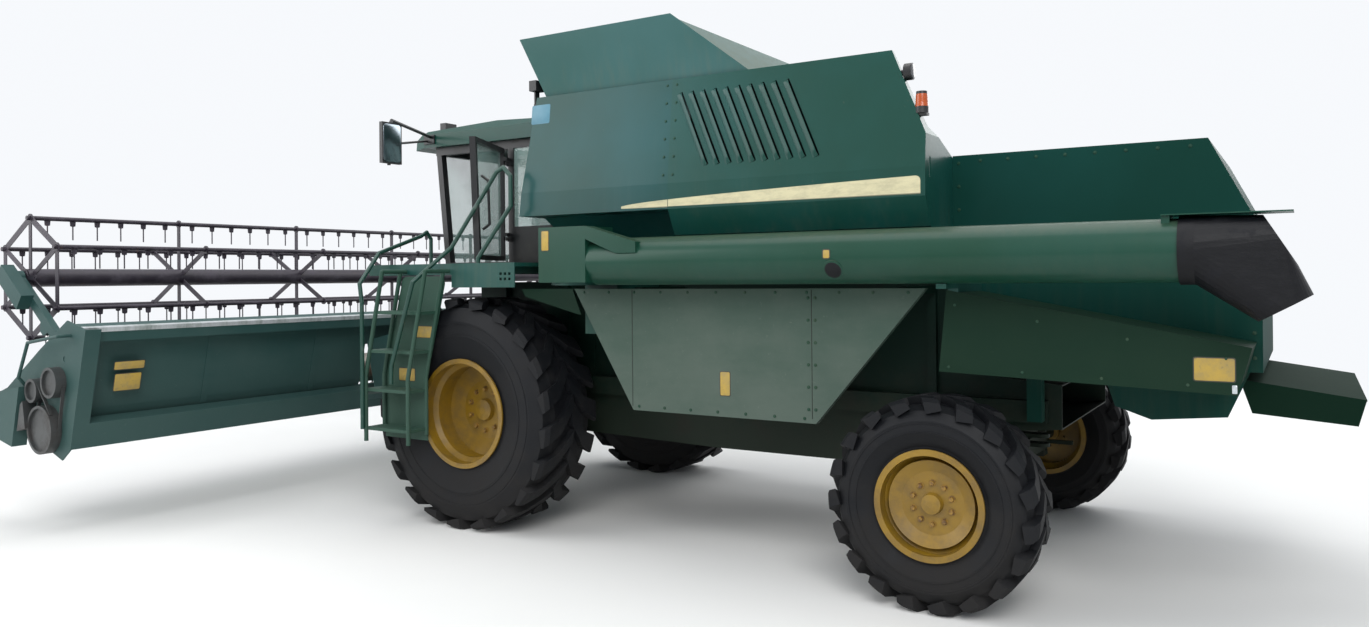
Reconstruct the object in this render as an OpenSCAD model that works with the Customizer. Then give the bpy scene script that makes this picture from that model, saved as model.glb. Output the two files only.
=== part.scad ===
// Self-propelled combine harvester with a straight grain platform and pick-up reel.
// X runs forward, Y to the machine's left, Z up from the ground. All sizes are in millimetres.

/* [Wheels] */
// Front axle ahead of the origin
axle_x = 1030; // [900:5:1100]
// Distance between the axles
wheelbase = 3806; // [3760:2:3840]
// Front tyre radius at the lug tips
ft_r = 915; // [895:5:925]
// Front tyre section width
ft_w = 622; // [600:2:640]
// Front tyre centre plane from the machine's middle
ft_y = 1330; // [1320:5:1350]
// Front rim flange radius
fr_r = 434; // [425:1:440]
// Lug pairs on a front tyre
f_lugs = 21; // [12:1:24]
// Lug height
lug_h = 46; // [36:1:54]
// Rear tyre radius at the lug tips
rt_r = 632; // [620:2:640]
// Rear tyre section width
rt_w = 378; // [360:2:390]
// Rear tyre centre plane from the machine's middle
rt_y = 1515; // [1500:5:1530]
// Rear rim flange radius
rr_r = 330; // [322:1:336]
// Lug pairs on a rear tyre
r_lugs = 19; // [12:1:22]
// Kingpin distance from the machine's middle
king_y = 1180; // [1170:5:1195]

/* [Body] */
// Sheet thickness of the big panels
sheet = 8; // [6:1:10]
// Half width of the separator body
sep_w = 790; // [780:5:795]
// Top of the separator body
sep_z = 1950; // [1940:5:1960]
// Lowest sheet of the cleaning shoe
shoe_z = 680; // [660:5:720]
// Half width of the straw hood
hood_w = 950; // [930:5:970]
// Roof height of the straw hood
hood_z = 2750; // [2700:10:2800]
// Rear wall of the straw hood behind the front axle
hood_x = 5480; // [5450:10:5500]
// Depth of the frame rails
rail_h = 140; // [120:5:150]
// Width of the frame rails
rail_w = 70; // [60:5:80]

/* [Grain tank and engine hood] */
// Front of the tank behind the front axle
tank_x = 530; // [520:5:540]
// Joint between tank and engine hood behind the front axle
seam_x = 1900; // [1860:5:1940]
// Rear wall of the engine hood behind the front axle
bay_x = 3750; // [3740:5:3760]
// Half width of tank and hood at their widest
tank_w = 1500; // [1495:5:1510]
// How far the sides lean in from the fold to the roof
tank_lean = 80; // [60:5:100]
// Lower edge of the side panels
tank_z0 = 2460; // [2455:5:2470]
// Fold line of the side panels
tank_fold_z = 2640; // [2620:5:2660]
// Roof height
tank_z1 = 3380; // [3360:5:3400]
// Height of the raised tank extension
ext_h = 455; // [400:5:460]
// Louvres in the engine hood side
louvre_n = 10; // [6:1:12]
// Louvre slot width
louvre_w = 26; // [20:1:34]
// Lean of the louvres, their tops forward
louvre_lean = 24.5; // [15:0.5:30]

/* [Cab] */
// Cab floor height
cab_z0 = 2130; // [2125:5:2140]
// Cab height to the roof seam
cab_h = 1050; // [1040:5:1060]
// Half width of the cab
cab_w = 850; // [840:5:860]
// Front edge of the cab floor ahead of the axle
cab_x1 = 930; // [920:5:950]
// Rear wall of the cab behind the axle
cab_x0 = 450; // [440:5:460]
// Post section
post = 60; // [50:2:64]
// Door width
door_w = 690; // [670:5:695]
// Door angle in the stored pose
door_open = 115; // [100:1:116]
// Window glass thickness
glass_t = 6; // [5:1:8]

/* [Platform and ladder] */
// Deck height
deck_z = 2105; // [2090:5:2110]
// Outer edge of the deck
deck_y = 1640; // [1620:5:1660]
// Handrail tube radius
rail_r = 17; // [14:1:20]
// Ladder steps
steps = 4; // [3:1:5]
// Ladder step pitch
step_p = 312; // [290:2:320]

/* [Header] */
// Header hinge ahead of the axle
hinge_x = 450; // [440:5:460]
// Header hinge height
hinge_z = 1550; // [1545:5:1560]
// Angle of the raised header in the stored pose
lift = 14; // [12:1:15]
// Half width of the header between its end sheets
head_w = 3350; // [3300:10:3400]
// Back sheet ahead of the axle, header lowered
back_x = 2300; // [2295:5:2310]
// Top of the back sheet, header lowered
back_z = 1200; // [1180:5:1210]
// Knife line ahead of the axle, header lowered
knife_x = 3150; // [3100:10:3170]
// Auger flighting radius
flight_r = 280; // [260:5:285]
// Auger tube radius
auger_r = 150; // [130:5:170]
// Auger axis height, header lowered
auger_z = 500; // [490:5:510]
// Guard pitch
guard_p = 76.2; // [70:0.1:152.4]
// Reel bat circle radius
bat_r = 500; // [480:5:505]
// Tine pitch along a bat
tine_p = 203; // [150:1:260]
// Tine length below a bat
tine_l = 165; // [120:5:170]
// Reel spiders
spiders = 6; // [4:1:7]
// Reel arm hinge ahead of the axle, header lowered
arm_x = 2385; // [2380:5:2395]
// Reel arm hinge height, header lowered
arm_z = 900; // [890:5:910]
// Reel arm length
arm_l = 1056; // [1050:1:1070]
// Reel arm angle in the stored pose
arm_a = 23; // [20:1:24]
// Feeder house half width
feed_w = 520; // [500:5:540]

/* [Unloading tube] */
// Tube radius
tube_r = 165; // [150:5:168]
// Tube axis outboard of the tank's side
tube_out = 150; // [145:5:160]
// Tube axis height
tube_z = 2095; // [2090:5:2105]
// Swing axis behind the front axle
swing_x = 1200; // [1190:5:1210]
// Rearward lean of the swing axis
swing_a = 22; // [18:1:24]
// End of the steel tube behind the front axle
tube_end = 5200; // [5100:10:5240]

/* [Shields] */
// Outer face of the side shields
shield_y = 1480; // [1470:5:1484]
// Top edge of the side shields
shield_z1 = 1900; // [1890:5:1905]
// Bottom edge of the side shields
shield_z0 = 1030; // [1010:5:1050]

/* [Hidden] */
$fn = 48;
seat = 0.3;
fit = 0.05;
gap = 6;
tank_top_w = tank_w - tank_lean;
tube_y = tank_w + tube_out;
green = [0.08, 0.32, 0.16];
dust = [0.24, 0.38, 0.26];
yellow = [0.85, 0.65, 0.10];
black = [0.06, 0.06, 0.06];
grey = [0.35, 0.36, 0.36];

// Profiles drawn in side view (X, Z) and pushed through Y, or in rear view (Y, Z) and pushed through X.
module side_prism(pts, y0, y1) translate([0, y1, 0]) rotate([90, 0, 0]) linear_extrude(y1 - y0) polygon(pts);
module rear_prism(pts, x0, x1) translate([x0, 0, 0]) rotate([90, 0, 90]) linear_extrude(x1 - x0) polygon(pts);
module both() for (s = [0, 1]) mirror([0, s, 0]) children();
module box(a, b) translate(a) cube(b - a);
module from_axle() translate([axle_x, 0, 0]) children();
module rod(a, b, r) {
    d = b - a;
    translate(a) rotate([0, acos(d[2] / norm(d)), atan2(d[1], d[0])]) cylinder(h = norm(d), r = r);
}
// A bent tube: straight lengths with a ball of the tube's own size at each bend.
module bent(pts, r) {
    for (i = [0 : len(pts) - 2]) rod(pts[i], pts[i + 1], r);
    for (i = [1 : 1 : len(pts) - 2]) translate(pts[i]) sphere(r = r + 0.4, $fn = 24);
}
module y_cyl(x, y0, y1, z, r) translate([x, y1, z]) rotate([90, 0, 0]) cylinder(h = y1 - y0, r = r);
// Raises what is drawn for the lowered header about its hinge.
module raised() from_axle() translate([hinge_x, 0, hinge_z]) rotate([0, -lift, 0])
    translate([-hinge_x, 0, -hinge_z]) children();
function turn(x, z, a) = [x * cos(a) - z * sin(a), x * sin(a) + z * cos(a)];

// Tyre: a carcass turned about its axle with chevron lugs, cut to the tread's outer curve.
module tyre(r, w, bead, seat_w, n, skew) rotate([90, 0, 0]) {
    h = w / 2;
    c = r - lug_h;
    b = seat_w / 2;
    rotate_extrude($fn = 96) polygon([[bead, -b], [bead + 40, -b - 4], [bead + (c - bead) * 0.45, -h],
        [bead + (c - bead) * 0.7, -h], [c - 30, -h + 34], [c, -h * 0.55], [c, h * 0.55], [c - 30, h - 34],
        [bead + (c - bead) * 0.7, h], [bead + (c - bead) * 0.45, h], [bead + 40, b + 4], [bead, b]]);
    intersection() {
        rotate_extrude($fn = 96) polygon([[c - 60, -h], [r - 22, -h], [r, -h + 34], [r, h - 34],
            [r - 22, h], [c - 60, h]]);
        for (s = [-1, 1], i = [0 : n - 1]) rotate([0, 0, (i + (s > 0 ? 0.5 : 0)) * 360 / n])
            translate([c - 62, 0, 0]) rotate([0, 90, 0]) rotate([0, 0, 90])
            linear_extrude(lug_h + 70) polygon([for (p = [[-skew * 0.10, -14], [skew * 0.16, -14],
                [skew * 0.66, h * 0.48], [skew * 0.86, h + 2], [skew * 0.50, h + 2], [skew * 0.34, h * 0.48]])
                [p[0], s * p[1]]]);
    }
}

// Rim: one turned section with flanges, bead seats, a well and a dished disc, drilled for its bolts.
module rim(flange, w, disc_y, hub_r, bolt_r, n, bore) rotate([-90, 0, 0]) difference() {
    h = w / 2;
    b = flange - 27;
    rotate_extrude($fn = 96) union() {
        polygon([[b - 10, -h], [flange, -h], [flange, -h + 14], [b + 1, -h + 26], [b, -h + 90], [b - 34, -h + 120],
            [b - 34, h - 120], [b, h - 90], [b + 1, h - 26], [flange, h - 14], [flange, h], [b - 10, h],
            [b - 10, h - 86], [b - 44, h - 114], [b - 44, disc_y + 46], [hub_r + 84, disc_y + 14], [hub_r + 40, disc_y + 14],
            [hub_r + 40, disc_y - 8], [b - 44, disc_y - 4], [b - 44, -h + 114], [b - 10, -h + 86]]);
        polygon([[0, disc_y - 8], [hub_r + 41, disc_y - 8], [hub_r + 41, disc_y + 14], [hub_r * 0.62, disc_y + 14],
            [hub_r * 0.55, disc_y + 52], [hub_r * 0.2, disc_y + 60], [0, disc_y + 60]]);
        polygon([[0, disc_y - 80], [hub_r * 0.8, disc_y - 80], [hub_r * 0.8, disc_y], [0, disc_y]]);
    }
    for (i = [0 : n - 1]) rotate([0, 0, (i + 0.5) * 360 / n]) translate([bolt_r, 0, disc_y - 20])
        cylinder(h = 60, r = 12, $fn = 24);
    translate([0, 0, disc_y - 90]) cylinder(h = 100, r = bore + fit);
}
f_disc = -20;
r_disc = 60;
f_spin = 60;
r_spin = 38;
module front_wheel_at(s) from_axle() mirror([0, s < 0 ? 1 : 0, 0]) translate([0, ft_y, ft_r]) children();
module rear_wheel_at(s) from_axle() mirror([0, s < 0 ? 1 : 0, 0]) translate([-wheelbase, rt_y, rt_r]) children();
module front_rim(s) color(yellow) front_wheel_at(s) rim(fr_r, 560, f_disc, 150, 168, 10, f_spin);
module rear_rim(s) color(yellow) rear_wheel_at(s) rim(rr_r, 330, r_disc, 105, 122, 10, r_spin);
module front_tyre(s) color(black) front_wheel_at(s) tyre(ft_r, ft_w, fr_r - 26, 506, f_lugs, 380);
module rear_tyre(s) color(black) rear_wheel_at(s) tyre(rt_r, rt_w, rr_r - 26, 276, r_lugs, 270);
module front_rim_left() front_rim(1);
module front_rim_right() front_rim(-1);
module rear_rim_left() rear_rim(1);
module rear_rim_right() rear_rim(-1);
module front_tyre_left() front_tyre(1);
module front_tyre_right() front_tyre(-1);
module rear_tyre_left() rear_tyre(1);
module rear_tyre_right() rear_tyre(-1);

// Front axle: a box beam with the gearbox in its middle and a final drive at each end.
beam_h = 250;
beam_z = ft_r + 125;
drive_r = 205;
module front_axle() color(grey) from_axle() {
    box([-130, -sep_w - rail_w, beam_z - beam_h], [130, sep_w + rail_w, beam_z]);
    translate([0, 0, beam_z - beam_h / 2]) rotate([90, 0, 0]) cylinder(h = 420, r = 190, center = true);
    both() {
        y_cyl(0, sep_w + rail_w, ft_y + f_disc - 190, ft_r, drive_r);
        y_cyl(0, ft_y + f_disc - 191, ft_y + f_disc - 86, ft_r, drive_r - 70);
        y_cyl(0, ft_y + f_disc - 87, ft_y + f_disc, ft_r, f_spin);
    }
    // Ears for the lift cylinders' lower pins.
    both() for (y = [lift_y - lug_g - 20, lift_y + lug_g]) difference() {
        side_prism([[100, beam_z - beam_h + 20], [cyl_x - 10, cyl_z - 50], [cyl_x + 45, cyl_z - 20], [cyl_x + 45, cyl_z + 20],
            [cyl_x - 10, cyl_z + 50], [100, beam_z - 20]], y, y + 20);
        y_cyl(cyl_x, y - 1, y + 21, cyl_z, 20 + fit);
    }
}

// Rear steering axle with forked ends and the cradle pin it rocks on.
axle_h = 150;
axle_b = rt_r - 65;
cross_z = rt_r + 110;
pin_z = axle_b + axle_h / 2;
module rear_axle() color(grey) from_axle() translate([-wheelbase, 0, 0]) {
    box([-75, -king_y + 90, axle_b], [75, king_y - 90, axle_b + axle_h]);
    both() difference() {
        for (z = [rt_r - 130, rt_r + 95]) {
            box([-60, king_y - 140, z], [60, king_y, z + 35]);
            translate([0, king_y, z]) cylinder(h = 35, r = 60);
        }
        translate([0, king_y, rt_r - 140]) cylinder(h = 290, r = 25 + fit);
    }
    both() box([-60, king_y - 140, rt_r - 130], [60, king_y - 89, rt_r + 130]);
    rotate([0, 90, 0]) translate([-pin_z, 0, 0]) cylinder(h = 260, r = 35, center = true);
}

// Steering knuckle: kingpin, barrel and wheel spindle.
module knuckle(s) color(grey) from_axle() mirror([0, s < 0 ? 1 : 0, 0]) translate([-wheelbase, king_y, rt_r]) {
    translate([0, 0, -150]) cylinder(h = 300, r = 25);
    translate([0, 0, -95 + seat]) cylinder(h = 190 - 2 * seat, r = 55);
    y_cyl(0, 0, rt_y - king_y + r_disc - 86, 0, 48);
    y_cyl(0, rt_y - king_y + r_disc - 87, rt_y - king_y + r_disc, 0, r_spin);
    // Steering arm with its tie-rod eye.
    difference() {
        box([-260, -25, -40], [0, 15, -10]);
        translate([-235, -5, -50]) cylinder(h = 60, r = 10, $fn = 24);
    }
}
module knuckle_left() knuckle(1);
module knuckle_right() knuckle(-1);

// Frame: two rails along the separator, drop plates and cross tube for the rear axle, posts and brackets.
rail_z = beam_z;
hitch_r = 16;
hitch_z = cross_z + 60;
module main_frame() color(green) from_axle() {
    both() {
        box([-4300, sep_w, rail_z], [hinge_x + 60, sep_w + rail_w, rail_z + rail_h]);
        box([-wheelbase - 130, sep_w, cross_z], [-wheelbase + 130, sep_w + 20, rail_z]);
        // Cab and tank posts with their outriggers.
        for (x = [-430, 250]) {
            box([x - 40, sep_w, rail_z + rail_h], [x + 40, sep_w + 50, cab_z0 - 110]);
            box([x - 30, 300, cab_z0 - 110], [x + 30, cab_w - 4, cab_z0 - 60]);
        }
        for (x = [-1560, -3560]) {
            box([x - 30, sep_w, rail_z + rail_h], [x + 30, sep_w + 40, sep_z - 40]);
            box([x - 30, sep_w, sep_z - 90], [x + 30, shield_y - 100, sep_z - 40]);
        }
    }
    // Rear cross tube with the ears that hold the axle's cradle pin, and the tow clevis behind it.
    box([-wheelbase - 75, -sep_w - 20, cross_z], [-wheelbase + 75, sep_w + 20, cross_z + 120]);
    for (x = [-wheelbase - 115, -wheelbase + 85]) difference() {
        box([x, -90, pin_z - 55], [x + 30, 90, cross_z + 10]);
        translate([x - 5, 0, pin_z]) rotate([0, 90, 0]) cylinder(h = 40, r = 35 + fit);
    }
    for (z = [hitch_z - 45, hitch_z + 20]) difference() {
        union() {
            box([-wheelbase - 270, -60, z], [-wheelbase - 70, 60, z + 25]);
            translate([-wheelbase - 270, 0, z]) cylinder(h = 25, r = 60);
        }
        translate([-wheelbase - 270, 0, z - 5]) cylinder(h = 35, r = hitch_r);
    }
}

// Separator body: a sheet box from the feeder's throat to the sieve outlet, open at both ends.
sep_x1 = hinge_x + 100;
throat_z = beam_z + 90;
function sep_pts(t) = [[sep_x1 + 1, throat_z + 200 + t], [330 - t, throat_z + t], [-330 + t, throat_z + t], [-480 - t, shoe_z + 40 + t],
    [-1900, shoe_z + t], [-2900 - t * 0.5, shoe_z + t], [-3300, 900 + t], [-4381, 1000 + t], [-4381, 1280 - t], [-bay_x + t, 1340 - t],
    [-bay_x + t, sep_z - t], [sep_x1 + 1, sep_z - t]];
module separator_body() color(green) from_axle() {
    difference() {
        intersection() {
            side_prism(sep_pts(0), -sep_w, sep_w);
            box([-4380, -sep_w, 0], [sep_x1, sep_w, sep_z]);
        }
        side_prism(sep_pts(sheet), -sep_w + sheet, sep_w - sheet);
        // Throat open below the feeder, and the straw's way out at the back.
        box([300, -sep_w + sheet, throat_z - 1], [sep_x1 + 1, sep_w - sheet, throat_z + 260]);
        box([-bay_x - 1, -sep_w + 20, 1420], [-bay_x + sheet + 1, sep_w - 20, sep_z - 20]);
    }
    both() {
        // Closing sheets beside the feeder and the hinge bearings outside.
        box([160, feed_w + 20, throat_z + sheet - 1], [160 + sheet, sep_w - sheet + 1, sep_z - sheet + 1]);
        difference() {
            y_cyl(hinge_x, sep_w - sheet, sep_w + 60, hinge_z, 90);
            y_cyl(hinge_x, sep_w - sheet - 1, sep_w + 61, hinge_z, 39);
        }
        // Ribs pressed outwards between the wheels.
        for (x = [-700, -1400, -1750, -2100, -2450, -2800])
            box([x - 20, sep_w - 1, rail_z + rail_h + 50], [x + 20, sep_w + 12, sep_z - 120]);
    }
    y_cyl(hinge_x, -sep_w - 60, sep_w + 60, hinge_z, 40);
}

// Straw hood: sheet shell open below and behind the walkers.
function hood_pts(t) = [[-bay_x - seat - t, 1420 - t * 2], [-bay_x - seat - t, hood_z - t], [-5220, hood_z - t], [-hood_x + 30 + t * 0.7, 2280],
    [-hood_x + t, 2280 - 20], [-hood_x + t, 1420 - t * 2]];
module straw_hood() color(green) from_axle() {
    difference() {
        side_prism(hood_pts(0), -hood_w, hood_w);
        side_prism(hood_pts(sheet), -hood_w + sheet, hood_w - sheet);
        // Way in for the straw from the separator, and the walkers' place.
        box([-bay_x - 60, -sep_w + 20, 1419], [-bay_x, sep_w - 20, sep_z - 20]);
    }
    // Chopper housing below the rear of the hood, with an open throat.
    difference() {
        side_prism([[-4620, 1426], [-4700, 1180], [-4900, 1110], [-5300, 1150], [-5420, 1426]], -hood_w + 82, hood_w - 82);
        side_prism([[-4630, 1430], [-4708, 1190], [-4902, 1122], [-4905, 1000], [-5450, 1000], [-5450, 1430]],
            -hood_w + 82 + sheet, hood_w - 82 - sheet);
    }
    both() box([-5430, hood_w - 91, 1420], [-4600, hood_w - sheet + 1, 1420 + sheet]);
    y_cyl(-5000, -hood_w + 84, hood_w - 84, 1300, 90);
    // Brackets that carry the hood on the frame rails.
    both() box([-4290, sep_w + rail_w, rail_z + 20], [-4200, hood_w - sheet + 1, 1440]);
}

// Straw walkers: stepped sieves side by side on two crankshafts.
walk_n = 5;
module walker_profile(y0, y1) side_prism(concat([[-2100, 1480], [-4900, 1480 + 60], [-4900, 1640]],
    [for (i = [0 : 4]) each [[-4900 + i * 560 + 130, 1740 - i * 20], [-4900 + i * 560 + 560, 1620 - i * 20]]]), y0, y1);
module straw_walkers() color(grey) from_axle() {
    w = (2 * sep_w - 2 * sheet - 40) / walk_n;
    for (i = [0 : walk_n - 1]) walker_profile(-sep_w + sheet + 20 + i * w + 8, -sep_w + sheet + 20 + (i + 1) * w - 8);
    y_cyl(-2500, -sep_w + sheet, sep_w - sheet, 1500, 25);
    y_cyl(-3600, -sep_w + sheet, sep_w - sheet, 1520, 25);
}

// Sections of the grain tank and of the engine bay behind it, seen from behind.
floor_z = 2046;
function tank_ring(t) = [[-tank_w + t, tank_z0 + t], [-tank_w + t, tank_fold_z], [-tank_top_w + t, tank_z1 - t],
    [tank_top_w - t, tank_z1 - t], [tank_w - t, tank_fold_z], [tank_w - t, tank_z0 + t], [tank_w - 300 - t * 0.4, tank_z0 + t],
    [sep_w - t * 0.4, floor_z + t], [-sep_w + t * 0.4, floor_z + t], [-tank_w + 300 + t * 0.4, tank_z0 + t]];
function bay_ring(t) = [[-tank_w + t, tank_z0 + t * 0.2], [-tank_w + t, tank_fold_z], [-tank_top_w + t, tank_z1 - t],
    [tank_top_w - t, tank_z1 - t], [tank_w - t, tank_fold_z], [tank_w - t, tank_z0 + t * 0.2], [tank_w - 90 - t * 0.7, tank_z0 - 180 + t * 0.7],
    [sep_w - t * 0.2, floor_z + t], [-sep_w + t * 0.2, floor_z + t], [-tank_w + 90 + t * 0.7, tank_z0 - 180 + t * 0.7]];
module tank_form(t) intersection() {
    rear_prism(tank_ring(t), -seam_x, -tank_x - t + 1);
    side_prism([[-seam_x - t, floor_z + t], [-tank_x - 230 - t, floor_z + t], [-tank_x - t, tank_z0], [-tank_x - 120 - t, tank_z1 - t],
        [-seam_x - t, tank_z1 - t]], -tank_w - 1, tank_w + 1);
}
module grain_tank() color(green) from_axle() {
    difference() {
        tank_form(0);
        intersection() {
            rear_prism(concat([for (p = tank_ring(sheet)) p[1] > tank_z1 - 20 ? [p[0], tank_z1 + 1] : p]), -seam_x, -tank_x);
            side_prism([[-seam_x + sheet, floor_z + sheet], [-tank_x - 230 - sheet, floor_z + sheet], [-tank_x - sheet, tank_z0],
                [-tank_x - 120 - sheet, tank_z1 + 2], [-seam_x + sheet, tank_z1 + 2]], -tank_w, tank_w);
        }
    }
    // Legs down to the separator's roof.
    both() for (x = [-840, -1860]) box([x, 500, sep_z], [x + 60, sep_w - 60, floor_z]);
}

// Tank extension: four folding panels standing as an open hopper.
module ext_form(t) hull() {
    translate([0, 0, tank_z1]) linear_extrude(1) polygon([[-720 - t, -tank_top_w + 30 + t], [-720 - t, tank_top_w - 30 - t],
        [-2500 + t, tank_top_w - 30 - t], [-2500 + t, -tank_top_w + 30 + t]]);
    translate([0, 0, tank_z1 + ext_h - 1 + t]) linear_extrude(1) polygon([[-tank_x - t, -tank_w + 20 + t], [-tank_x - t, tank_w - 20 - t],
        [-1920 + t, tank_w - 20 - t], [-1920 + t, -tank_w + 20 + t]]);
}
module tank_extension() color(dust) from_axle() difference() {
    ext_form(0);
    translate([0, 0, -0.5]) ext_form(5);
}

// Engine bay: a sheet tray behind the tank, with the tank's left side carried on as a tall cover.
// The cover has slanting louvres, a narrow flange along its rear slope and a gusset at the slope's foot.
module bay_form(t) intersection() {
    rear_prism(bay_ring(t), -bay_x + t, -seam_x - t);
    side_prism([[-seam_x - t, floor_z + t], [-seam_x - t, tank_z1 - t], [-3520 + t * 0.8, tank_z1 - t], [-bay_x + t, 2840],
        [-bay_x + t, floor_z + t]], -tank_w - 1, tank_w + 1);
}
screen_r = 370;
screen_x = 2330;
screen_z = 2880;
wall_z = hood_z - 10;
module engine_hood() color(green) from_axle() {
    difference() {
        bay_form(0);
        bay_form(sheet);
        // All that stands above the low walls, but for the left cover with its flange and gusset.
        rear_prism([[-tank_w - 1, wall_z], [hood_w, wall_z], [tank_w - 127, wall_z + 150], [tank_top_w - 30, tank_z1 + 1],
            [-tank_w - 1, tank_z1 + 1]], -bay_x - 1, -seam_x + 1);
        // Louvres on the left.
        for (i = [0 : louvre_n - 1]) translate([-2216 - i * 92, 0, 2750]) rotate([0, louvre_lean, 0])
            box([-louvre_w / 2, tank_top_w - 60, 0], [louvre_w / 2, tank_w + 1, 580]);
        // Place of the screen on the right, and the vent in the rear wall.
        translate([-screen_x, -tank_w - 1, screen_z]) rotate([-90, 0, 0]) cylinder(h = 120, r = screen_r + gap);
        box([-bay_x - 1, tank_w - 105, 2575], [-bay_x + sheet + 1, tank_w - 80, 2703]);
    }
    both() for (x = [-2000, -3600]) box([x, 500, sep_z], [x + 60, sep_w - 60, floor_z]);
}

// Engine across the bay: sump, block, head and cover, with its pulleys on the left and its fan on the right.
engine_x = -screen_x;
deck = floor_z + sheet + seat;
module engine() color(grey) from_axle() {
    box([engine_x - 150, -300, deck + 70], [engine_x + 150, 400, 2251]);
    box([engine_x - 230, -350, 2250], [engine_x + 230, 450, 2720]);
    box([engine_x - 190, -330, 2719], [engine_x + 190, 430, 2840]);
    box([engine_x - 110, -300, 2839], [engine_x + 110, 400, 2930]);
    // Feet, ribs of the block and injection pump.
    for (x = [-290, 190], y = [-280, 340]) box([engine_x + x, y, deck], [engine_x + x + 100, y + 60, 2330]);
    for (y = [-270 : 110 : 280], x = [-245, 229]) box([engine_x + x, y, 2300], [engine_x + x + 16, y + 30, 2700]);
    box([engine_x - 330, -100, 2450], [engine_x - 229, 300, 2600]);
    y_cyl(engine_x + 260, -200, 50, 2420, 75);
    // Flywheel housing and drive pulley.
    y_cyl(engine_x, 449, 540, 2430, 230);
    y_cyl(engine_x, 539, 640, 2430, 150);
    y_cyl(engine_x, 639, 700, 2430, 60);
    // Water pump, belt pulleys and fan.
    y_cyl(engine_x, -420, -349, 2420, 130);
    y_cyl(engine_x, -560, -349, 2700, 60);
    y_cyl(engine_x + 210, -420, -349, 2560, 50);
    difference() {
        y_cyl(engine_x, -640, -555, 2700, 110);
        y_cyl(engine_x, -641, -600, 2700, 85);
    }
    for (a = [0 : 60 : 300]) translate([engine_x, -600, 2700]) rotate([0, a, 0]) rotate([25, 0, 0]) box([95, -4, -50], [330, 4, 50]);
}

// Around the engine: fuel tank, air cleaner with its capped intake, and silencer.
module engine_fittings() color(black) from_axle() {
    difference() {
        box([-3480, -700, deck + 60], [-2860, 300, 2560]);
        for (x = [-3480, -2860], z = [deck + 60, 2560]) translate([x, -701, z]) rotate([0, 45, 0]) box([-30, 0, -30], [30, 1002, 30]);
    }
    for (y = [-600, 140]) box([-3400, y, deck], [-2940, y + 60, deck + 61]);
    translate([-3330, -560, 2559]) cylinder(h = 46, r = 60, $fn = 32);
    // Air cleaner on its saddles, its duct and the mushroom cap.
    y_cyl(-2860, 380, 860, 2730, 130);
    for (y = [450, 720]) box([-2900, y, 2560], [-2820, y + 50, 2640]);
    for (y = [450, 720]) box([-2880, y, deck], [-2840, y + 50, 2561]);
    bent([[-2940, 600, 2730], [-3300, 600, 2640], [-3600, 500, 2500]], 52);
    translate([-3600, 500, deck]) cylinder(h = 2700 - deck, r = 55);
    translate([-3600, 500, 2660]) cylinder(h = 60, r = 95);
    translate([-3600, 500, 2719]) cylinder(h = 45, r1 = 95, r2 = 50);
    // Silencer along the engine's rear with its inlet and stub outlet.
    y_cyl(-2740, -880, -260, 2960, 105);
    y_cyl(-2740, -950, -259, 2960, 45);
    translate([-2740, -905, 2960]) cylinder(h = 150, r = 42);
    for (y = [-760, -420]) box([-2760, y, deck], [-2720, y + 40, 2870]);
    bent([[-2740, -290, 2900], [-2700, -200, 2860], [-2575, -200, 2800], [engine_x - 191 - 40, -200, 2790]], 38);
}

// Radiator housing with its core, and the round rotating screen over its intake.
module cooling_screen() color(black) from_axle() {
    y1 = -tank_w + 89;
    intersection() {
        bay_form(sheet + seat);
        difference() {
            box([-screen_x - 405, y1, floor_z], [-screen_x + 405, -1000, tank_z1 - 90]);
            box([-screen_x - 397, y1 + sheet, floor_z + 300], [-screen_x + 397, -1060, tank_z1 - 98]);
            box([-screen_x - 340, -1061, 2380], [-screen_x + 340, -999, tank_z1 - 150]);
            y_cyl(-screen_x, y1 - 1, y1 + 20, screen_z, screen_r - 24);
        }
    }
    box([-screen_x - 398, -1130, 2379], [-screen_x + 398, -1059, tank_z1 - 149]);
    translate([-screen_x, -tank_w - 20, screen_z]) rotate([-90, 0, 0]) {
        difference() {
            cylinder(h = 110, r = screen_r);
            translate([0, 0, -1]) cylinder(h = 112, r = screen_r - 24);
        }
        for (a = [0 : 30 : 150]) rotate([0, 0, a]) box([-screen_r + 10, -5, 20], [screen_r - 10, 5, 60]);
        cylinder(h = 70, r = 70);
        for (r = [140, 215, 290]) difference() {
            translate([0, 0, 30]) cylinder(h = 6, r = r + 5);
            translate([0, 0, 29]) cylinder(h = 8, r = r - 5);
        }
    }
}

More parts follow.
